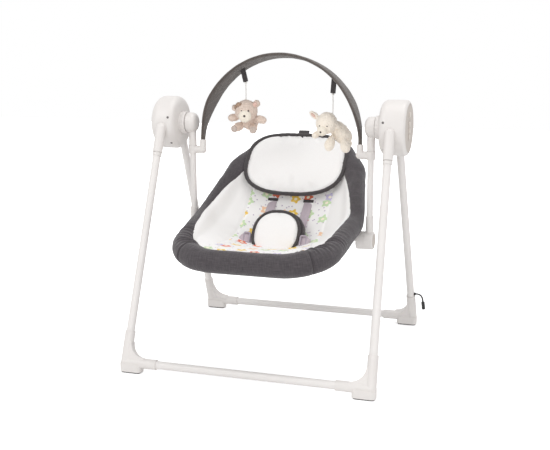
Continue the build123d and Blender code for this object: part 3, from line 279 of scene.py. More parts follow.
def printed_cotton():
    material, tree, shader = finish("printed_white_cotton", Roughness=0.9, Sheen_Weight=0.2,
                                    Sheen_Roughness=0.6)
    flat = add(tree, "TexCoord").outputs["UV"]
    apart = add(tree, "SeparateXYZ", {0: flat})
    side = add(tree, "Math", {0: apart}, operation="ABSOLUTE")
    inside = add(tree, "Math", {0: side, 1: PRINT_HALF * MM}, operation="LESS_THAN")

    def motif(cell_mm, randomness):
        scale = 1 / (cell_mm * MM)
        cells = add(tree, "TexVoronoi", {"Vector": flat, "Scale": scale, "Randomness": randomness},
                    voronoi_dimensions="2D")
        away = add(tree, "VectorMath", {0: flat, 1: cells.outputs["Position"]}, operation="SUBTRACT")
        reach = add(tree, "VectorMath", {0: away}, operation="LENGTH").outputs["Value"]
        return cells, away, reach

    cells, away, reach = motif(PRINT_CELL, 0.7)
    legs = add(tree, "SeparateXYZ", {0: away})
    angle = add(tree, "Math", {0: legs.outputs[1], 1: legs.outputs[0]}, operation="ARCTAN2")
    petals = add(tree, "Math", {0: angle, 1: 5.0}, operation="MULTIPLY")
    wave = add(tree, "Math", {0: petals}, operation="COSINE")
    edge = add(tree, "MapRange", {"Value": wave, 1: -1.0, 2: 1.0, 3: 0.66 * PETAL_REACH * MM,
                                  4: PETAL_REACH * MM})
    flower = add(tree, "Math", {0: reach, 1: edge}, operation="LESS_THAN")
    eye = add(tree, "Math", {0: reach, 1: 0.3 * PETAL_REACH * MM}, operation="LESS_THAN")
    chance = add(tree, "SeparateColor", {0: cells.outputs["Color"]})
    ink = add(tree, "ValToRGB", {0: chance})
    ink.color_ramp.interpolation = "CONSTANT"
    for number, (text, place) in enumerate(INKS):
        stop = ink.color_ramp.elements[number] if number < 2 else ink.color_ramp.elements.new(place)
        stop.position = place
        stop.color = colour(text)
    dot = add(tree, "Math", {0: motif(DOT_CELL, 1.0)[2], 1: DOT_R * MM}, operation="LESS_THAN")
    cloth = add(tree, "TexNoise", {"Vector": flat, "Scale": 1 / (COTTON_YARN * MM), "Detail": 2.0})
    layer = wear(tree, shader, cloth, "#fbfaf9", "#f3f1f0", cloth, 0.4, 0.15)
    for mask, over in ((dot, colour("#c8bccb")), (flower, ink), (eye, colour("#fbf3dc"))):
        shown = add(tree, "Math", {0: mask, 1: inside}, operation="MULTIPLY")
        layer = add(tree, "Mix", {0: shown, 6: layer, 7: over}, data_type="RGBA").outputs[2]
    tree.links.new(layer, shader.inputs["Base Color"])
    return material


print_cotton = printed_cotton()
print("print: flowers", 2 * PETAL_REACH, "mm across, one in each", PRINT_CELL, "mm cell")

# %% [markdown]
# ## Dressing the CAD solids
# Every solid names a material slot in the record. A table from slot to finish dresses them all at once,
# and their meshes stay as they came. The soft solids get their fabric too, although the sewn pieces below
# stand in for them.

# %% Dress the CAD solids
slot_finish = {
    "white_tube": powder_coat, "white_plastic": white_abs, "grey_plastic": grey_abs,
    "button_plastic": silicone, "rubber": rubber, "steel": zinc_steel, "bush_plastic": acetal,
    "copper": copper_wire, "lever_metal": zinc_steel, "board": board_laminate, "black_plastic": black_abs,
    "black_lead": vinyl, "charcoal_fabric": melange, "white_fabric": cotton, "strap_fabric": webbing,
    "buckle_plastic": black_abs, "cord_white": white_cord, "bear_plush": bear_plush, "lamb_plush": lamb_plush,
}
# The drums' screws take the darkened steel, which is painted shade of their holes.
node_finish = {"housing_screws": screw_steel_painted_hole_shade}
for row in frame["record"]["subparts"]:
    solid = frame["nodes"][row["node"]]
    solid.data.materials.clear()
    solid.data.materials.append(node_finish.get(row["node"], slot_finish[row["material_slot"]]))

# %% [markdown]
# ## Cords
# Two thin cords hang the toys from the band, and a short black lead leaves the rear leg. A cord is one
# smooth NURBS curve with a round bevel; its control points are the route's own points. The order and the end
# flag are set after the points are there, because a spline with too few points would refuse them.

# %% Cords
def piece(name, data, material, body, slot, *nodes):
    item = bpy.data.objects.new(name, data)
    scene.collection.objects.link(item)
    data.materials.append(material)
    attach(item, body)
    if nodes:
        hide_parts(*nodes)
    return item


def cord(name, points_mm, diameter_mm, material, body, slot, node):
    curve = bpy.data.curves.new(name, "CURVE")
    curve.dimensions = "3D"
    curve.bevel_depth = diameter_mm / 2 * MM
    curve.bevel_resolution = 4
    curve.use_fill_caps = True
    curve.resolution_u = 16
    spline = curve.splines.new("NURBS")
    spline.points.add(len(points_mm) - 1)
    for place, point in zip(spline.points, points_mm):
        place.co = (*(Vector(point) * MM), 1.0)
    spline.order_u = 3
    spline.use_endpoint_u = True
    return piece(name, curve, material, body, slot, node)


TOY_CORD_D = 2.4
KNOT_GAP = 3.8
BEAR_KNOT = Vector((-98.0, 26.108, 692.84))
LAMB_KNOT = Vector((134.0, 22.977, 667.33))
BEAR_DROP, LAMB_DROP = 39.0, 45.5
CORD_BOW = Vector((0.9, 0.4, 0))
crowns = {}
for toy, knot, drop in (("bear", BEAR_KNOT, BEAR_DROP), ("lamb", LAMB_KNOT, LAMB_DROP)):
    top = knot - Vector((0, 0, KNOT_GAP))
    crown = top - Vector((0, 0, drop))
    crowns[toy] = crown
    route = (top, (top + crown) / 2 + CORD_BOW, crown)
    string = cord(f"{toy}_string", route, TOY_CORD_D, white_cord, toy, "cord_white", f"{toy}_cord")

LEAD_START = Vector((320.389, 256.908, 100.0))
LEAD_STEPS = ((0, 0, 0), (9, 0, 0), (16, 1.5, -5), (19.5, 3, -13.5), (20.5, 3.5, -22))
LEAD_D, LEAD_LENGTH = 4.4, 35.1
lead = cord("power_pigtail", [LEAD_START + Vector(step) for step in LEAD_STEPS], LEAD_D, vinyl, "rear_frame",
            "black_lead", "power_lead")
print("cords:", BEAR_DROP, LAMB_DROP, "and", LEAD_LENGTH, "mm")

# %% [markdown]
# ## Sewing helpers
# Most soft pieces are tubes or strips: a roll, a strap, a band, a binding. Each is a row of closed sections
# joined into one skin, which also gives the cloth its UV in metres, so a weave has the same thread spacing
# everywhere. A section is a circle, or a circle boxed towards a rectangle, set across a path. Sewn routes
# with bends are corner points and radii, and arcs round them off.

# %% Sewing helpers
def skin(name, rows, loop=False):
    rows = np.asarray(rows, float)
    count, around = rows.shape[:2]
    mesh = bpy.data.meshes.new(name)
    steps = count if loop else count - 1
    faces = [
        (i * around + j, i * around + (j + 1) % around, (i + 1) % count * around + (j + 1) % around,
         (i + 1) % count * around + j)
        for i in range(steps) for j in range(around)
    ]
    if not loop:
        faces.append(tuple(reversed(range(around))))
        faces.append(tuple(range((count - 1) * around, count * around)))
    mesh.from_pydata(rows.reshape(-1, 3) * MM, [], faces)
    ring = np.concatenate([rows, rows[:, :1]], axis=1)
    across = np.concatenate([[0], np.cumsum(np.linalg.norm(np.diff(ring, axis=1), axis=2).mean(axis=0))]) * MM
    middles = np.concatenate([rows, rows[:1]]).mean(axis=1)
    along = np.concatenate([[0], np.cumsum(np.linalg.norm(np.diff(middles, axis=0), axis=1))]) * MM
    uv = mesh.uv_layers.new(name="cut")
    flat = [
        corner for i in range(steps) for j in range(around)
        for corner in ((across[j], along[i]), (across[j + 1], along[i]), (across[j + 1], along[i + 1]),
                       (across[j], along[i + 1]))
    ]
    flat += [(0.0, 0.0)] * (len(mesh.loops) - len(flat))
    uv.data.foreach_set("uv", np.asarray(flat, np.float32).ravel())
    tidy(mesh)
    return mesh


def tidy(mesh):
    work = bmesh.new()
    work.from_mesh(mesh)
    bmesh.ops.recalc_face_normals(work, faces=work.faces)
    work.to_mesh(mesh)
    work.free()
    mesh.shade_smooth()


def corner_points(mesh):
    numbers = np.empty(len(mesh.loops), np.int32)
    mesh.loops.foreach_get("vertex_index", numbers)
    return numbers


def rounded_route(corners, radii, steps=24):
    corners = [Vector(corner) for corner in corners]
    route = [corners[0]]
    for before, corner, after, radius in zip(corners, corners[1:], corners[2:], radii):
        back = (before - corner).normalized()
        ahead = (after - corner).normalized()
        half = back.angle(ahead) / 2
        centre = corner + (back + ahead).normalized() * (radius / math.sin(half))
        first = corner + back * (radius / math.tan(half)) - centre
        axis = first.cross(corner + ahead * (radius / math.tan(half)) - centre).normalized()
        turn = math.pi - 2 * half
        route += [centre + Matrix.Rotation(turn * step / steps, 3, axis) @ first for step in range(steps + 1)]
    return route + [corners[-1]]


def unit(ways):
    return ways / np.linalg.norm(ways, axis=1, keepdims=True)


def loop_way(path):
    return unit(np.roll(path, -1, axis=0) - np.roll(path, 1, axis=0))


def circle(count):
    return np.arange(count) * 2 * math.pi / count


def boxed(values, power):
    return np.sign(values) * np.abs(values) ** power


def sections(path, across, face, wide, thick):
    return path[:, None] + wide[..., None] * across[:, None] + thick[..., None] * face[:, None]


def spaced(points, count, closed=False):
    points = np.asarray([tuple(point) for point in points], float)
    if closed:
        points = np.concatenate([points, points[:1]])
    length = np.concatenate([[0], np.cumsum(np.linalg.norm(np.diff(points, axis=0), axis=1))])
    places = np.linspace(0, length[-1], count, endpoint=not closed)
    return np.stack([np.interp(places, length, points[:, axis]) for axis in range(3)], axis=1), length[-1]


def smooth_step(low, high, value):
    share = np.clip((value - low) / (high - low), 0, 1)
    return share * share * (3 - 2 * share)


def lumps(points, size_mm):
    return np.array([noise.noise(Vector(point) / size_mm) for point in np.asarray(points, float)])


print("sewing helpers ready; a smooth step a quarter of the way is at", smooth_step(0, 1, 0.25))

# %% [markdown]
# ## The roll round the seat
# The seat's bent tube hides in a thick roll of charcoal cloth over foam. A sewn seam crosses the roll at each
# front corner. Behind it the cloth of the side panel is longer than the tube and gathers into folds, which
# start at the liner's edge and run out before the underside. In the front corners and beside the pillow the
# cloth bridges inwards from the tube, so the roll is wider there. A section is swept round the ring: two
# half ovals, the inner one as wide as the bridge. Formulas for the folds, the seams and the slow lumps of the
# foam push it in and out. Where the liner lies on it, it is a little thinner, so that the liner's edge sits
# in a step.

# %% Round the ring
RING_HALF = [(0, -280, 293), (182, -280, 293), (200, -6, 348), (165, 160, 456), (98, 243, 513), (0, 243, 513)]
RING_RADII = [108, 120, 80, 80]
CORNER_CENTRE = (74.0, -172.0)
ROLL_R = 26.0
RING_COUNT, ROLL_AROUND = 960, 72
ring_right = rounded_route(RING_HALF, RING_RADII)
ring_left = [Vector((-point.x, point.y, point.z)) for point in reversed(ring_right[1:-1])]
ring, ring_length = spaced(ring_right + ring_left, RING_COUNT, closed=True)
tangent = loop_way(ring)
top_way = unit(np.array([0, 0, 1.0]) - tangent * tangent[:, 2:])
out_way = np.cross(tangent, top_way)

SEAM_TURN = 47.0
# How far inside the tube's axis the liner stops: by the turn round a front corner, then by the place back.
INSET_BY_TURN = ((0, 19), (20, 30), (47, 38), (70, 33), (90, 24), (110, 16), (124, 13))
INSET_BY_Y = ((-172, 19), (-144, 11), (-100, 8), (-50, 6), (0, 6), (55, 11), (87, 17), (125, 27), (152, 33),
              (243, 36))
INSET_BLUR = 18
corner_turn = np.degrees(np.arctan2(CORNER_CENTRE[1] - ring[:, 1], np.abs(ring[:, 0]) - CORNER_CENTRE[0]))
front_panel = smooth_step(SEAM_TURN - 3, SEAM_TURN + 3, corner_turn)
rough_inset = np.where(ring[:, 1] < CORNER_CENTRE[1], np.interp(corner_turn, *np.transpose(INSET_BY_TURN)),
                       np.interp(ring[:, 1], *np.transpose(INSET_BY_Y)))
wrapped = np.concatenate([rough_inset[-INSET_BLUR:], rough_inset, rough_inset[:INSET_BLUR]])
liner_inset = np.convolve(wrapped, np.ones(2 * INSET_BLUR + 1) / (2 * INSET_BLUR + 1), "valid")
inner_half = np.maximum(ROLL_R, liner_inset + 5)
crest = ROLL_R + 2.0 * front_panel + 4.0 * np.exp(-((corner_turn - SEAM_TURN) / 28) ** 2)
print("ring:", round(ring_length), "mm round; the liner stops", liner_inset.min().round(1), "to",
      liner_inset.max().round(1), "mm inside it")

# %% The roll
GATHER_PITCH, GATHER_DEEP = 12.5, 3.4
SEAM_DEEP, UNDER_LINER = 6.0, 3.0
FOAM_LUMPS = ((1.7, 64), (0.9, 24))
lean = ((circle(ROLL_AROUND) + math.pi) % (2 * math.pi) - math.pi)[None]
lean_seam = -np.arctan2(liner_inset, crest * np.sqrt(1 - (liner_inset / inner_half) ** 2))[:, None]
bridge = ROLL_R + (inner_half[:, None] - ROLL_R) * smooth_step(-2.3, -1.35, lean)
across_half = np.where(lean < 0, bridge, ROLL_R)
up_half = np.where(np.abs(lean) < math.pi / 2, crest[:, None], ROLL_R)
oval = across_half * up_half / np.hypot(up_half * np.sin(lean), across_half * np.cos(lean))
spokes = np.cos(lean)[:, :, None] * top_way[:, None] + np.sin(lean)[:, :, None] * out_way[:, None]
plain = (ring[:, None] + oval[:, :, None] * spokes).reshape(-1, 3)
foam = sum(deep * lumps(plain, size) for deep, size in FOAM_LUMPS).reshape(RING_COUNT, ROLL_AROUND)
covered = smooth_step(lean_seam - 0.02, lean_seam - 0.2, lean) * smooth_step(-2.7, -2.3, lean)
ring_place = np.arange(RING_COUNT) * ring_length / RING_COUNT
wander = 2.4 * np.sin(ring_place / 31) + 1.3 * np.sin(ring_place / 13.7)
folds = np.sin(2 * math.pi * ring_place / GATHER_PITCH + wander)[:, None]
uneven = 0.75 + 0.5 * np.sin(ring_place / 8.3 + 1.1 * wander)[:, None]
gathered = smooth_step(-85, -190, ring[:, 1]) * (1 - front_panel)
gathered = gathered + 0.3 * np.exp(-((corner_turn - SEAM_TURN - 9) / 7) ** 2)
near_seam = np.exp(-((lean - lean_seam - 0.45) / 1.0) ** 2)
stitched = np.exp(-((corner_turn - SEAM_TURN) / 1.2) ** 2)
gathers = GATHER_DEEP * gathered[:, None] * uneven * folds * near_seam * (1 - covered) ** 2
radius = oval + 0.4 + foam - UNDER_LINER * covered + gathers - SEAM_DEEP * stitched[:, None]
roll_mesh = skin("seat_roll", ring[:, None] + radius[:, :, None] * spokes, loop=True)
roll = piece("seat_roll", roll_mesh, melange, "seat", "charcoal_fabric", "seat_rim")
print("roll: folds every", GATHER_PITCH, "mm behind the seams at", SEAM_TURN, "degrees of the corners")

# %% [markdown]
# ## The liner
# Inside the ring lies a quilted pad with plain white side panels and a printed middle. It climbs onto the
# roll and stops near its crest, so its height is the larger of two surfaces, the dish of the seat and the
# top of the roll, joined softly. Both are formulas on a grid of rows from front to back, and the seams
# between the panels are pressed into the same height. The dish comes first, from a line of heights along the
# middle.

# %% Seat surfaces
STATIONS_Y = [-266, -222, -150, -60, 10, 60, 108, 160, 195, 229]
STATIONS_Z = [301, 305, 298, 285, 296, 328, 378, 444, 482, 508]
EDGE_ABOVE_RING = 4.0
SAG, SAG_Y, SAG_LONG, SAG_WIDE = 6.0, -70.0, 60.0, 90.0
half_points = np.asarray([tuple(point) for point in ring_right])
half_y = half_points[:, 1] + 1e-5 * np.arange(len(half_points))


def middle_height(y):
    fine = np.linspace(STATIONS_Y[0], STATIONS_Y[-1], 200)
    rough = np.interp(fine, STATIONS_Y, STATIONS_Z)
    window = np.ones(15) / 15
    padded = np.concatenate([np.full(7, rough[0]), rough, np.full(7, rough[-1])])
    return np.interp(y, fine, np.convolve(padded, window, mode="valid"))


def dish_height(x, y):
    half = np.maximum(np.interp(y, half_y, half_points[:, 0]), 1.0)
    edge = np.interp(y, half_y, half_points[:, 2]) + EDGE_ABOVE_RING
    return middle_height(y) + (edge - middle_height(y)) * np.clip(np.abs(x) / half, 0, 1) ** 2.4


def sagging_dish(x, y):
    return dish_height(x, y) - SAG * np.exp(-((y - SAG_Y) / SAG_LONG) ** 2) * np.exp(-(x / SAG_WIDE) ** 4)


print("dish:", round(float(sagging_dish(0, SAG_Y))), "mm above the floor at its lowest")

# %% [markdown]
# ## A grid inside the ring
# The liner and the sling are cut to lines inside the ring. A grid takes such a line, runs its rows across the
# seat and sets them closer at both ends, where the line turns. For each point the nearest place on the ring
# tells how far it is from the roll.

# %% A grid inside the ring
def nearest_on_ring(x, y):
    gap = np.full(len(x), 1e9)
    nearest = np.zeros(len(x), int)
    for number in range(RING_COUNT):
        apart = np.hypot(x - ring[number, 0], y - ring[number, 1])
        nearest[apart < gap] = number
        gap = np.minimum(gap, apart)
    return gap, nearest


GRID_ROWS, GRID_COLUMNS = 170, 131
EVEN_SHARE = 0.55


def seat_grid(inset):
    line = (ring[:, :2] - np.reshape(inset, (-1, 1)) * out_way[:, :2])[: RING_COUNT // 2 + 1]
    line_y = np.maximum.accumulate(line[:, 1]) + 1e-6 * np.arange(len(line))
    share = np.linspace(-1, 1, GRID_ROWS)
    front_y, back_y = line_y[0] + 0.05, line_y[-1] - 0.05
    closer = EVEN_SHARE * share + (1 - EVEN_SHARE) * np.sin(share * math.pi / 2)
    rows = (front_y + back_y) / 2 + (back_y - front_y) / 2 * closer
    half = np.interp(rows, line_y, line[:, 0])
    return half[:, None] * np.linspace(-1, 1, GRID_COLUMNS), np.repeat(rows[:, None], GRID_COLUMNS, axis=1)


def pad_mesh(name, grid, high, low):
    upper = np.stack([*grid, high.reshape(grid[0].shape)], axis=2)
    lower = np.stack([*grid, low.reshape(grid[0].shape)], axis=2)[:, ::-1]
    return skin(name, np.concatenate([upper, lower], axis=1))


print("seat grid:", GRID_ROWS, "rows of", GRID_COLUMNS)

# %% [markdown]
# ## The quilted pad
# The pad's top is the dish with a puff in each side panel, a groove along each seam, slow lumps of wadding
# and small puckers where the stitches pull. It thins towards its edge.

# %% The quilted pad
SOFT_JOIN = 6.0
PANEL_HALF, SEAM_WIDENS = 114.0, 26.0
LINER_DEEP, EDGE_DEEP, EDGE_RUNS = 12.0, 2.5, 14.0
PUFF, GROOVE, WADDING, PUCKER = 4.5, 3.4, 1.5, 1.1
liner_grid = seat_grid(liner_inset)
flat_x, flat_y = (values.ravel() for values in liner_grid)
gap, nearest = nearest_on_ring(flat_x, flat_y)
ring_z = ring[nearest, 2]
reach = gap / inner_half[nearest]
on_roll = crest[nearest] * np.sqrt(np.maximum(1 - reach ** 2, 0))
roll_z = ring_z + np.where(reach < 1, on_roll, 80 * (1 - reach))
edge_share = np.clip((gap - liner_inset[nearest]) / EDGE_RUNS, 0, 1)
plain_dish = sagging_dish(flat_x, flat_y)
seam_x = PANEL_HALF + SEAM_WIDENS * smooth_step(-110, -250, flat_y)
from_seam = np.abs(flat_x) - seam_x
puff = PUFF * smooth_step(0, 34, from_seam) * edge_share
groove = -GROOVE * np.exp(-(from_seam / 4.0) ** 2)
quilt = WADDING * lumps(np.stack([flat_x, flat_y, plain_dish], axis=1), 48)
pull = PUCKER * np.sin(flat_y / 6.5 + 0.03 * np.abs(flat_x)) * np.exp(-(from_seam / 14) ** 2)
top_z = SOFT_JOIN * np.logaddexp((plain_dish + puff + groove + quilt + pull) / SOFT_JOIN, roll_z / SOFT_JOIN)
top_z = top_z + 0.8 + 1.8 * np.sin(edge_share * math.pi / 2)
low_z = top_z - EDGE_DEEP - (LINER_DEEP - EDGE_DEEP) * edge_share
liner_mesh = pad_mesh("quilted_liner", liner_grid, top_z, low_z)
liner = piece("quilted_liner", liner_mesh, print_cotton, "seat", "white_fabric", "seat_liner")
print("liner:", len(liner_mesh.vertices), "points")

# %% [markdown]
# ## The pad's cut
# The print runs straight down the middle panel, so a point's UV is its place across and its way along the
# middle of the dish. The side panels' UV is moved out beside the printed one.

# %% The pad's cut
row_y = liner_grid[1][:, 0]
profile = np.concatenate([[0], np.cumsum(np.hypot(np.diff(row_y), np.diff(middle_height(row_y))))])
corner_vertex = corner_points(liner_mesh)
vertex_row = corner_vertex // (2 * GRID_COLUMNS)
vertex_x = np.array([vertex.co.x for vertex in liner_mesh.vertices])[corner_vertex]
middles = np.array([(face.center.x, face.center.y, face.loop_total) for face in liner_mesh.polygons])
face_seam = PANEL_HALF + SEAM_WIDENS * smooth_step(-110, -250, middles[:, 1] / MM)
beside = np.sign(middles[:, 0]) * np.where(np.abs(middles[:, 0]) / MM > face_seam, PRINT_HALF * MM, 0.0)
cut_u = vertex_x + np.repeat(beside, middles[:, 2].astype(int))
liner_mesh.uv_layers["cut"].data.foreach_set(
    "uv", np.stack([cut_u, profile[vertex_row] * MM], axis=1).astype(np.float32).ravel())
print("liner is cut", round(profile[-1]), "mm long")

# %% [markdown]
# ## The sling
# Under the pad a charcoal cloth hangs from the ring and carries the child. It is one stretched sheet a couple
# of millimetres thick. It starts under the lowest line of the roll, where it is sewn on, and runs smoothly
# to a fixed distance under the dish. Its flat size is measured along its own middle lines.

# %% The sling
SLING_DROP, SLING_T = 21.0, 2.0
SLING_EDGE, SLING_RUNS, SLING_UNDER = 3.0, 62.0, 1.2
sling_grid = seat_grid(np.full(RING_COUNT, SLING_EDGE))
flat_x, flat_y = (values.ravel() for values in sling_grid)
gap, nearest = nearest_on_ring(flat_x, flat_y)
towards_dish = smooth_step(0, SLING_RUNS, gap)
under_roll = ring[nearest, 2] - ROLL_R - SLING_UNDER
sling_high = under_roll * (1 - towards_dish) + (sagging_dish(flat_x, flat_y) - SLING_DROP) * towards_dish
sling_mesh = pad_mesh("seat_sling_cloth", sling_grid, sling_high, sling_high - SLING_T)
sling = piece("seat_sling_cloth", sling_mesh, melange, "seat", "charcoal_fabric", "seat_sling")

# %% [markdown]
# ## Pillow and crotch pad
# Both are two layers of cotton sewn together round an edge and filled, with a dark binding tape folded over
# the seam. Such a shape can be modelled by hand, but cloth finds it more truly: the seam is pinned, and
# Blender's cloth is blown up with a little pressure and no gravity, so that it swells between its seams. No
# point may move further than a cap.

# %% Filling a pad
SWELL_FRAMES = 20


def blown(mesh, pinned, cap_mm, pressure=4.0, looser=0.05):
    start = np.empty(len(mesh.vertices) * 3)
    mesh.vertices.foreach_get("co", start)
    worker = bpy.data.objects.new("blown", mesh)
    scene.collection.objects.link(worker)
    group = worker.vertex_groups.new(name="sewn")
    group.add([int(i) for i in pinned], 1.0, "REPLACE")
    cloth = worker.modifiers.new("cloth", "CLOTH")
    cloth.settings.vertex_group_mass = "sewn"
    cloth.settings.use_pressure = True
    cloth.settings.uniform_pressure_force = pressure
    cloth.settings.shrink_min = -looser
    cloth.settings.quality = 6
    cloth.settings.effector_weights.gravity = 0.0
    cloth.point_cache.frame_end = SWELL_FRAMES
    for number in range(1, SWELL_FRAMES + 1):
        scene.frame_set(number)
    graph = bpy.context.evaluated_depsgraph_get()
    done = worker.evaluated_get(graph).data
    end = np.empty(len(done.vertices) * 3)
    done.vertices.foreach_get("co", end)
    move = (end - start).reshape(-1, 3)
    length = np.maximum(np.linalg.norm(move, axis=1, keepdims=True), 1e-9)
    kept = start.reshape(-1, 3) + move * np.minimum(1.0, cap_mm * MM / length)
    bpy.data.objects.remove(worker)
    scene.frame_set(1)
    mesh.vertices.foreach_set("co", kept.ravel())
    mesh.update()


print("pads swell for", SWELL_FRAMES, "frames")

# %% [markdown]
# ## Cutting a pad
# A pad lies on a tilted plane. Its outline is a circle pulled towards a rectangle, and rings of points
# shrink from it to a pole in the middle of each layer. Only the front layer swells: the back one stays where
# it lies.

# %% Cutting a pad
def outline(angle, wide, long, corner):
    c, s = np.cos(angle), np.sin(angle)
    reach = (np.abs(c) ** corner + np.abs(s) ** corner) ** (-1 / corner)
    return wide / 2 * reach * c, long / 2 * reach * s


def tilted(degrees):
    c, s = math.cos(math.radians(degrees)), math.sin(math.radians(degrees))
    return np.array([0, c, s]), np.array([0, -s, c])


def on_plane(centre, tilt, u, v, w):
    up, front = tilted(tilt)
    points = np.asarray(centre, float) + np.multiply.outer(u, np.array([1.0, 0, 0]))
    return points + np.multiply.outer(v, up) + np.multiply.outer(w, front)


def filled_pad(name, centre, tilt, wide, long, corner, crown, back, bend, cap_mm, rings=26, spokes=112):
    share = np.linspace(0, 1, rings + 1)[1:]
    u, v = (share[:, None] * edge[None] for edge in outline(circle(spokes), wide, long, corner))
    rise = 1 - share[:, None] ** 2.2
    layers = []
    for height, sign in ((crown, 1), (back, -1)):
        w = sign * (height * rise + 0.4) + bend * (u / (wide / 2)) ** 2
        layers.append(on_plane(centre, tilt, u, v, w))
    poles = [on_plane(centre, tilt, np.zeros(1), np.zeros(1), np.array([w]))[0] for w in (crown, -back)]
    mesh = bpy.data.meshes.new(name)
    points = np.concatenate([layers[0].reshape(-1, 3), layers[1].reshape(-1, 3), poles])
    size = rings * spokes
    faces = []
    for layer in (0, 1):
        base = layer * size
        pole = 2 * size + layer
        for j in range(spokes):
            k = (j + 1) % spokes
            faces.append((pole, base + j, base + k))
            faces += [(base + i * spokes + j, base + (i + 1) * spokes + j, base + (i + 1) * spokes + k,
                       base + i * spokes + k) for i in range(rings - 1)]
    last = (rings - 1) * spokes
    faces += [(last + j, size + last + j, size + last + (j + 1) % spokes, last + (j + 1) % spokes)
              for j in range(spokes)]
    mesh.from_pydata(points * MM, [], faces)
    tidy(mesh)
    sewn = list(range(last - spokes, size)) + list(range(size, 2 * size)) + [2 * size + 1]
    blown(mesh, sewn, cap_mm)
    place = np.array([vertex.co for vertex in mesh.vertices]) / MM - np.asarray(centre)
    flat = np.stack([place[:, 0], place @ tilted(tilt)[0]], axis=1) * MM
    cut = flat[corner_points(mesh)].astype(np.float32)
    mesh.uv_layers.new(name="cut").data.foreach_set("uv", cut.ravel())
    return mesh


print("pads are cut on planes such as", [way.round(2).tolist() for way in tilted(45)])

# %% [markdown]
# ## Bound edges
# Binding tape is folded over the seam and stitched down, so it is a flat tube round the outline that is never
# quite even. The pillow's sides bend forwards over the roll. The crotch pad is boxed: a dark gusset, set a
# little to one side by the harness behind it, runs round its edge.

# %% Bound edges
def edge_tape(name, centre, tilt, wide, long, bend, corner, radial, deep, lift=0.0, count=180):
    u, v = outline(circle(count), wide, long, corner)
    path = on_plane(centre, tilt, u, v, bend * (u / (wide / 2)) ** 2 + lift)
    front = np.tile(tilted(tilt)[1], (count, 1))
    turn = circle(14)
    wobble = 1 + 0.06 * np.sin(np.arange(count) * 1.9) + 0.05 * np.sin(np.arange(count) * 0.61)
    wide_way = radial / 2 * wobble[:, None] * boxed(np.cos(turn), 0.7)
    deep_way = deep / 2 * boxed(np.sin(turn), 0.7)
    return skin(name, sections(path, np.cross(loop_way(path), front), front, wide_way, deep_way), loop=True)


PILLOW = dict(centre=(0, 156, 468), tilt=47, wide=276, long=196, bend=11.0, corner=2.9)
pillow_mesh = filled_pad("head_pillow_cover", crown=19, back=22, cap_mm=4, **PILLOW)
pillow = piece("head_pillow_cover", pillow_mesh, cotton, "seat", "white_fabric", "head_pillow")
tape = edge_tape("pillow_binding", radial=10.0, deep=9.0, lift=2.0, **PILLOW)
piece("pillow_binding", tape, binding, "seat", "charcoal_fabric")
CROTCH = dict(centre=(0, -30, 313), tilt=55, wide=122, long=124, bend=0.0, corner=2.3)
crotch_mesh = filled_pad("crotch_pad_cover", crown=13, back=16, cap_mm=4, rings=18, spokes=84, **CROTCH)
crotch = piece("crotch_pad_cover", crotch_mesh, cotton, "seat", "white_fabric", "crotch_pad")
tape = edge_tape("crotch_pad_binding", radial=8.0, deep=8.0, lift=2.0, **CROTCH)
piece("crotch_pad_binding", tape, binding, "seat", "charcoal_fabric")
BOXED = dict(CROTCH, centre=(4, -30, 313), wide=126)
gusset = edge_tape("crotch_pad_gusset", radial=12.0, deep=26.0, lift=-15.0, **BOXED)
piece("crotch_pad_gusset", gusset, binding, "seat", "charcoal_fabric")
print("pads:", pillow.name, crotch.name)

# %% [markdown]
# ## Straps
# Shoulder and waist straps are polyester webbing, a flat strip a couple of millimetres thick that bends only
# across its face. Each follows its route on the seat: shoulder straps run down from slots in the back to
# the crotch pad, and waist straps go out to the sides and into the liner.

# %% Straps
STRAP_W, STRAP_T = 24.0, 2.5
ACROSS_SEAT = ((1, 0, 0), (1, 0, 0))
SHOULDER_X = 50.0
SHOULDER_ROUTE = [(124, 392), (62, 344), (24, 318), (-16, 317)]
WAIST_ROUTE = [(38, -30, 300), (64, -37, 299), (88, -44, 301), (101, -50, 286)]
WAIST_ACROSS = ((0, 0.5, 0.87), (0, 0.6, 0.8))


def strip(name, points, across, wide, thick, radii, count=60):
    route = spaced(rounded_route(points, radii), count)[0]
    twist = np.linspace(0, 1, count)[:, None]
    across = unit((1 - twist) * np.asarray(across[0], float) + twist * np.asarray(across[1], float))
    face = unit(np.cross(unit(np.gradient(route, axis=0)), across))
    turn = circle(20)
    wide_way, thick_way = wide / 2 * boxed(np.cos(turn), 0.35), thick / 2 * boxed(np.sin(turn), 0.6)
    return skin(name, sections(route, across, face, wide_way, thick_way))


SIDES = ((-1, "left"), (1, "right"))
for side, word in SIDES:
    shoulder = [(side * SHOULDER_X, y, z) for y, z in SHOULDER_ROUTE]
    waist = [(side * x, y, z) for x, y, z in WAIST_ROUTE]
    for part, points, across, radii in (("shoulder", shoulder, ACROSS_SEAT, [40, 30]),
                                        ("waist", waist, WAIST_ACROSS, [40, 10])):
        strap = strip(f"{part}_strap", points, across, STRAP_W, STRAP_T, radii)
        piece(f"{word}_{part}_strap", strap, webbing, "seat", "strap_fabric", f"{part}_straps")
print("straps: 4, each", STRAP_W, "mm wide")

# %% [markdown]
# ## Slots, sliders and the pillow's tab
# The slots that the straps come through are edged with binding. Each waist strap carries a moulded slider, a
# small frame. A folded loop of binding sewn to the pillow's top is the tab to lift it by.

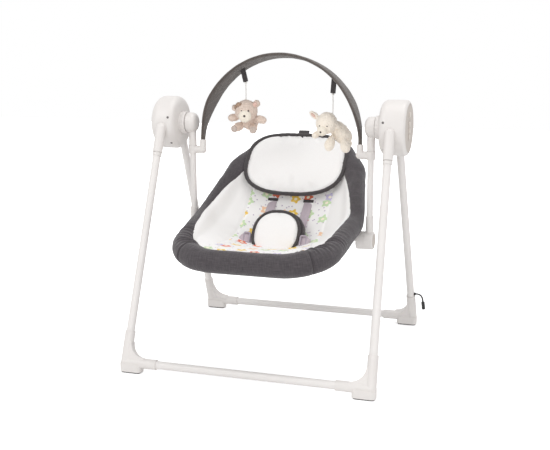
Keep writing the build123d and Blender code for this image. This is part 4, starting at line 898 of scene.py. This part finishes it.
# %% Slots, sliders and the pillow's tab
SLOT_Y, SLOT_UP, SLOT_HALF = 102.0, (0, 0.69, 0.72), 14
SLIDER_AT = (76, -42, 301)
for side, word in SIDES:
    high = float(dish_height(SHOULDER_X, SLOT_Y)) + 3.0
    ends = [(side * SHOULDER_X + reach, SLOT_Y, high) for reach in (-SLOT_HALF, SLOT_HALF)]
    edging = strip("strap_slot", ends, (SLOT_UP, SLOT_UP), 9, 4, [])
    piece(f"{word}_slot_edging", edging, binding, "seat", "charcoal_fabric")
    place = (side * SLIDER_AT[0], *SLIDER_AT[1:])
    slider = edge_tape("waist_slider", place, 60, 16, 27, 0.0, corner=6.0, radial=5.0, deep=5.0)
    piece(f"{word}_waist_slider", slider, lilac_nylon, "seat", "buckle_plastic")


def folded(name, sewn, tip, face, across, wide, gap_mm, thick):
    sewn, tip, face = Vector(sewn), Vector(tip), Vector(face).normalized() * gap_mm / 2
    points = [sewn + face, tip + face, tip - face, sewn - face]
    return strip(name, points, (across, across), wide, thick, [0.98 * gap_mm / 2] * 2, count=90)


TAB_SEWN, TAB_LONG = 84, 31
tab_up, tab_front = (Vector(way) for way in tilted(PILLOW["tilt"]))
sewn_at = Vector(PILLOW["centre"]) + TAB_SEWN * tab_up
tab = folded("pillow_tab", sewn_at, sewn_at + TAB_LONG * tab_up, tab_front, (1, 0, 0), 30, 3.4, 1.8)
piece("pillow_tab", tab, binding, "seat", "charcoal_fabric")
print("slots edged, sliders threaded, tab folded")

# %% [markdown]
# ## The toy bar's band
# A padded cloth band wraps a thin spring arch, wide at its crown and narrow where it enters the elbows.
# The arch is half an ellipse that leans back a little; the band's section is a flat rounded oval whose width
# grows from the ends, with a soft crown on its faces.

# %% The band
BAND_AXIS_Z, BAND_LEAN = 520.0, math.radians(7)
ELBOW_RISE, ARCH_HALF, ARCH_RISE = 26.0, 210.0, 218.0
BAND_END_W, BAND_WIDE_W, BAND_GROW, BAND_T = 18.0, 78.0, 120.0, 9.0
BAND_ROWS, BAND_LUMP, BAND_LUMP_SIZE = 180, 0.5, 26
lean_back = np.array([0, math.cos(BAND_LEAN), -math.sin(BAND_LEAN)])
lean_up = np.array([0, math.sin(BAND_LEAN), math.cos(BAND_LEAN)])
arch_points = [
    np.array([ARCH_HALF * math.cos(a), 0, BAND_AXIS_Z]) + lean_up * (ELBOW_RISE + ARCH_RISE * math.sin(a))
    for a in np.linspace(0, math.pi, 241)
]
arch, arch_length = spaced(arch_points, BAND_ROWS)
face = np.cross(unit(np.gradient(arch, axis=0)), lean_back)
from_end = np.linspace(0, arch_length, BAND_ROWS)
from_end = np.minimum(from_end, arch_length - from_end)
band_wide = BAND_END_W + (BAND_WIDE_W - BAND_END_W) * smooth_step(0, BAND_GROW, from_end)
c, s = np.cos(circle(44)), np.sin(circle(44))
welt = 1 - 0.22 * np.exp(-((np.abs(c) - 0.93) / 0.05) ** 2)
thick = boxed(s, 0.6) * BAND_T / 2 * welt
rows = []
for i in range(BAND_ROWS):
    wide = boxed(c, 0.55) * band_wide[i] / 2
    row = arch[i] + wide[:, None] * lean_back + thick[:, None] * face[i]
    rows.append(row + (BAND_LUMP * lumps(row, BAND_LUMP_SIZE) * np.sign(s))[:, None] * face[i])
band_mesh = skin("toy_bar_band", rows)
band = piece("toy_bar_band", band_mesh, brushed_melange, "toy_bar", "charcoal_fabric", "toy_arch")
print("band:", round(arch_length), "mm long,", round(band_wide.max()), "mm wide")

# %% [markdown]
# ## Tabs and knots
# Each toy hangs from a folded cloth tab sewn under the band; the cord passes through it and ends in a knot.
# The knot is a real overhand knot, a closed trefoil line with a round section, small enough to stay in the
# bead that CAD gives it.

# %% Tabs and knots
KNOT_R, KNOT_CORD_R = 2.3, 1.15
TAB_W = 13.0
for toy, knot, slant in (("bear", BEAR_KNOT, -8.0), ("lamb", LAMB_KNOT, 3.0)):
    sewn_x = knot.x + slant
    rise = ELBOW_RISE + ARCH_RISE * math.sqrt(1 - (sewn_x / ARCH_HALF) ** 2) - BAND_T / 2 + 1.5
    sewn_at = Vector((sewn_x, 0, BAND_AXIS_Z)) + rise * Vector(lean_up)
    tip = knot + Vector((0, 0, KNOT_GAP - 1))
    face = Vector(lean_back)
    tab = folded("toy_tab", sewn_at, tip, face, (tip - sewn_at).cross(face), TAB_W, 2.4, 1.4)
    piece(f"{toy}_tab", tab, binding, "toy_bar", "charcoal_fabric", "toy_tabs")
    turn = circle(96)
    line = np.stack([np.sin(turn) + 2 * np.sin(2 * turn), np.cos(turn) - 2 * np.cos(2 * turn),
                     -1.6 * np.sin(3 * turn)], axis=1) * KNOT_R / 3 + np.asarray(knot)
    along = loop_way(line)
    side_way = unit(np.cross(along, np.asarray(knot) - line + np.array([0, 0, 0.01])))
    rows = sections(line, side_way, np.cross(along, side_way), KNOT_CORD_R * np.cos(circle(10)),
                    KNOT_CORD_R * np.sin(circle(10)))
    piece(f"{toy}_tied_knot", skin("tied_knot", rows, loop=True), white_cord, f"{toy}_link", "cord_white",
          f"{toy}_knot")
print("tabs sewn and knots tied")

# %% [markdown]
# ## Stuffed toys
# A soft toy is a few filled bags of plush sewn together. Each bag here is an egg, given by its base, its tip,
# its girth and where it is fullest. The eggs of one part are merged by a voxel remesh and smoothed, and a
# coarse and a fine noise push the surface into the tufts of the pile.

# %% Stuffed toys
def egg(base, tip, girth, fullest, steps=22, around=28):
    base, tip = Vector(base), Vector(tip)
    axis = tip - base
    turn = axis.to_track_quat("Z", "Y").to_matrix()
    spread = math.log(0.5) / math.log(fullest)
    rows = []
    for level in np.linspace(0.004, 0.996, steps):
        radius = girth * math.sqrt(level * (1 - level))
        centre = base + axis * level ** (1 / spread)
        rows.append([centre + turn @ Vector((radius * math.cos(a), radius * math.sin(a), 0))
                     for a in circle(around)])
    return np.array([[tuple(point) for point in row] for row in rows])


LOCKS, CURLS = 6.5, 3.2


def stuffed(name, forms, material, body, slot, *nodes, voxel=1.3, tuft=1.1):
    eggs = bmesh.new()
    for form in forms:
        part = skin("egg", egg(*form))
        eggs.from_mesh(part)
        bpy.data.meshes.remove(part)
    mesh = bpy.data.meshes.new(name + "_eggs")
    eggs.to_mesh(mesh)
    eggs.free()
    worker = bpy.data.objects.new("stuffing", mesh)
    scene.collection.objects.link(worker)
    remesh = worker.modifiers.new("sewn", "REMESH")
    remesh.mode = "VOXEL"
    remesh.voxel_size = voxel * MM
    smooth = worker.modifiers.new("smooth", "SMOOTH")
    smooth.iterations = 6
    graph = bpy.context.evaluated_depsgraph_get()
    done = bpy.data.meshes.new_from_object(worker.evaluated_get(graph))
    done.name = name
    bpy.data.objects.remove(worker)
    bpy.data.meshes.remove(mesh)
    for vertex in done.vertices:
        pile = noise.noise(vertex.co / (LOCKS * MM)) + 1.1 * noise.noise(vertex.co / (CURLS * MM))
        vertex.co += vertex.normal * tuft * MM * pile
    done.shade_smooth()
    done.materials.clear()
    item = piece(name, done, material, body, slot, *nodes)


def at(toy, forms):
    crown = crowns[toy]
    return [(crown + Vector(base), crown + Vector(tip), girth, full) for base, tip, girth, full in forms]


print("stuffing ready: locks", LOCKS, "mm and curls", CURLS, "mm wide")

# %% [markdown]
# ## A bear and a lamb
# Both hang by the crown of the head, so every egg is placed from there, in millimetres. The bear sits upright
# with its limbs forwards. The lamb leans to one side, with its head low and its body behind it.

# %% A bear and a lamb
TOYS = {
    "bear": {
        "head": [((1, 0, -55), (0, 0, 0), 58, .45), ((-17, -4, -20), (-36, -8, -22), 17, .6),
                 ((18, 4, -22), (34, 4, -3), 18, .6)],
        "body": [((0, 40, -76), (0, 14, -32), 48, .45)],
        "arms": [((-18, 16, -46), (-48, -6, -48), 20, .62), ((18, 16, -46), (56, -8, -54), 20, .6)],
        "legs": [((-12, 34, -64), (-32, -8, -76), 22, .65), ((12, 34, -64), (20, -8, -78), 22, .65)],
    },
    "lamb": {
        "head": [((-26, -10, -48), (-3, 1, 2.2), 53, .5), ((-34, -2, -14), (-60, 0, 5), 15, .55),
                 ((0, 4, -14), (16, -2, -37), 14, .6)],
        "body": [((38, 26, -74), (-10, 18, -20), 44, .42)],
        "arms": [((-30, 0, -42), (-46, -20, -58), 17, .62), ((0, 6, -50), (-7, -22, -90), 25, .66)],
        "legs": [((24, 10, -56), (40, -12, -94), 25, .66), ((26, 30, -60), (34, 44, -88), 22, .6)],
    },
}
for toy, parts in TOYS.items():
    cloth = bear_plush if toy == "bear" else lamb_plush
    for part, forms in parts.items():
        stuffed(f"plush_{toy}_{part}", at(toy, forms), cloth, toy, f"{toy}_plush", f"{toy}_{part}")
print("toys:", ", ".join(TOYS))

# %% [markdown]
# ## Faces
# A plain face is enough to tell a bear from a lamb: a pale muzzle sewn onto the head, two eyes and a nose
# stitched with dark thread, the lining of an ear, a sole on each foot. Each is a small egg set a little into
# the bag behind it, the way a sewn patch sits in the pile.

# %% Faces
FACES = {
    "bear": (
        ("muzzle", muzzle_plush, 0.4, [((4, -14, -41), (6, -34, -40), 33, .5)]),
        # The brown patch on the bear's head is painted shade along the fold of its left ear.
        ("painted_fold_shade", fold_shade_plush, 1.2, [((-22, -14, -16), (-6, -24, -8), 12, .5),
                                       ((-26, -10, -24), (-20, -20, -13), 9, .5)]),
        ("ear_lining", ear_plush, 0.3, [((20, -2, -20), (30, -5, -6), 12, .55)]),
        ("soles", sole_plush, 0.4, [((-28, 2, -74), (-34, -12, -77), 19, .6),
                                    ((18, 2, -76), (22, -12, -79), 19, .6)]),
        ("nose", thread, 0.0, [((5, -30, -40), (9, -35, -40), 7, .5)]),
        ("eyes", thread, 0.0, [((-3, -25, -27), (-2, -29, -27), 5, .5),
                               ((15, -24, -27), (16, -28, -27), 5, .5)]),
    ),
    "lamb": (
        ("muzzle", muzzle_plush, 0.4, [((-20, -18, -38), (-21, -36, -43), 27, .5)]),
        ("ear_lining", ear_plush, 0.3, [((-40, -6, -10), (-56, -5, 2), 8, .55)]),
        ("nose", thread, 0.0, [((-24, -32, -42), (-20, -37, -43), 6, .5)]),
        ("eyes", thread, 0.0, [((-26, -26, -28), (-26, -30, -29), 5, .5),
                               ((-8, -26, -28), (-7, -30, -29), 5, .5)]),
    ),
}
for toy, details in FACES.items():
    for part, cloth, tuft, forms in details:
        stuffed(f"{toy}_{part}", at(toy, forms), cloth, toy, f"{toy}_plush", voxel=0.8, tuft=tuft)
print("faces:", sum(len(details) for details in FACES.values()), "sewn details")

# %% [markdown]
# ## Collars on the front legs
# Where a front leg enters its drum's sleeve, a moulded collar closes the joint, with a narrow gap above it
# that reads as a dark line. A collar is a short profile turned round the leg's axis.

# %% Collars
LEG_FOOT, LEG_HUB = Vector((308, -289, 24)), Vector((296, -65, 590))
COLLAR_BELOW, COLLAR_L = 1.4, 9.0
COLLAR_PROFILE = ((0, 10.15), (0, 10.9), (0.6, 11.4), (8.2, 11.6), (9, 11.2), (9, 10.15))
SLEEVE_END_Z = 521.0
for side, word in SIDES:
    foot, hub = (Vector((side * point.x, point.y, point.z)) for point in (LEG_FOOT, LEG_HUB))
    axis = (hub - foot).normalized()
    base = foot + axis * ((SLEEVE_END_Z - foot.z) / axis.z - COLLAR_BELOW - COLLAR_L)
    turn = axis.to_track_quat("Z", "Y").to_matrix()
    rows = []
    for a in circle(64):
        spoke = turn @ Vector((math.cos(a), math.sin(a), 0))
        rows.append([tuple(base + axis * along_leg + spoke * radius) for along_leg, radius in COLLAR_PROFILE])
    piece(f"{word}_leg_collar", skin("leg_collar", rows, loop=True), white_abs, "stand", "white_plastic")
print("collars:", COLLAR_L, "mm long under the sleeves")

# %% [markdown]
# ## Studio
# The swing stands on white paper under broad soft light. Away from the swing the paper glows to the camera
# alone, so the picture's ground runs into the background without a horizon. Close to the swing it still glows
# to the camera at half strength on top of what it reflects: painted light that pales the soft shadows at the
# feet. Four large lamps light the swing: a broad one above and to the left, a low one in front, one at the
# right and one overhead, at a level where a colour looks as it is written.

# %% Floor, world and lamps
floor_mesh = bpy.data.meshes.new("floor")
FLOOR_HALF = 6.0
# Near the swing the floor still glows to the camera at GLOW_LEAST, painted light that pales its shadows.
GLOW_FROM, GLOW_FULL, GLOW_LEAST = 0.45, 1.6, 0.5
AMBIENT = 0.72
floor_mesh.from_pydata([(x * FLOOR_HALF, y * FLOOR_HALF, 0) for x, y in ((-1, -1), (1, -1), (1, 1), (-1, 1))],
                       [], [(0, 1, 2, 3)])
floor = bpy.data.objects.new("floor", floor_mesh)
scene.collection.objects.link(floor)
floor.location.z = -0.0005
floor_paper, tree, shader = finish("matt_white_paper", Base_Color=colour("#fafafa"), Roughness=0.9)
away = add(tree, "VectorMath", {0: add(tree, "TexCoord").outputs["Object"]}, operation="LENGTH")
glow = add(tree, "MapRange", {"Value": away.outputs["Value"], 1: GLOW_FROM, 2: GLOW_FULL, 3: GLOW_LEAST,
                              4: 1.0})
shown = add(tree, "Math", {0: glow, 1: add(tree, "LightPath").outputs["Is Camera Ray"]},
            operation="MULTIPLY")
tree.links.new(shown.outputs[0], shader.inputs["Emission Strength"])
floor_mesh.materials.append(floor_paper)

world = bpy.data.worlds.new("studio")
scene.world = world
world.use_nodes = True
tree = world.node_tree
ray = add(tree, "LightPath")
seen = add(tree, "Math", {0: ray.outputs["Is Camera Ray"], 1: ray.outputs["Is Glossy Ray"]},
           operation="MAXIMUM")
through = add(tree, "Math", {0: seen, 1: ray.outputs["Is Transmission Ray"]}, operation="MAXIMUM")
strength = add(tree, "MapRange", {"Value": through, 3: AMBIENT, 4: 1.0})
backdrop = tree.nodes["Background"]
backdrop.inputs["Color"].default_value = (1, 1, 1, 1)
tree.links.new(strength.outputs[0], backdrop.inputs["Strength"])


def lamp(name, place, size, power, target=(0, 0, 0.4)):
    light = bpy.data.lights.new(name, "AREA")
    light.shape = "DISK"
    light.size = size
    light.energy = power
    item = bpy.data.objects.new(name, light)
    scene.collection.objects.link(item)
    item.location = place
    item.rotation_euler = (Vector(place) - Vector(target)).to_track_quat("Z", "Y").to_euler()


lamp("key", (-1.4, -2.2, 2.4), 1.6, 16)
lamp("fill", (2.2, -2.0, 1.6), 1.6, 5)
lamp("top", (0.6, 0.2, 3.0), 1.8, 19)
lamp("front", (0.6, -3.0, 0.9), 1.6, 11)
print("studio: 4 lamps")
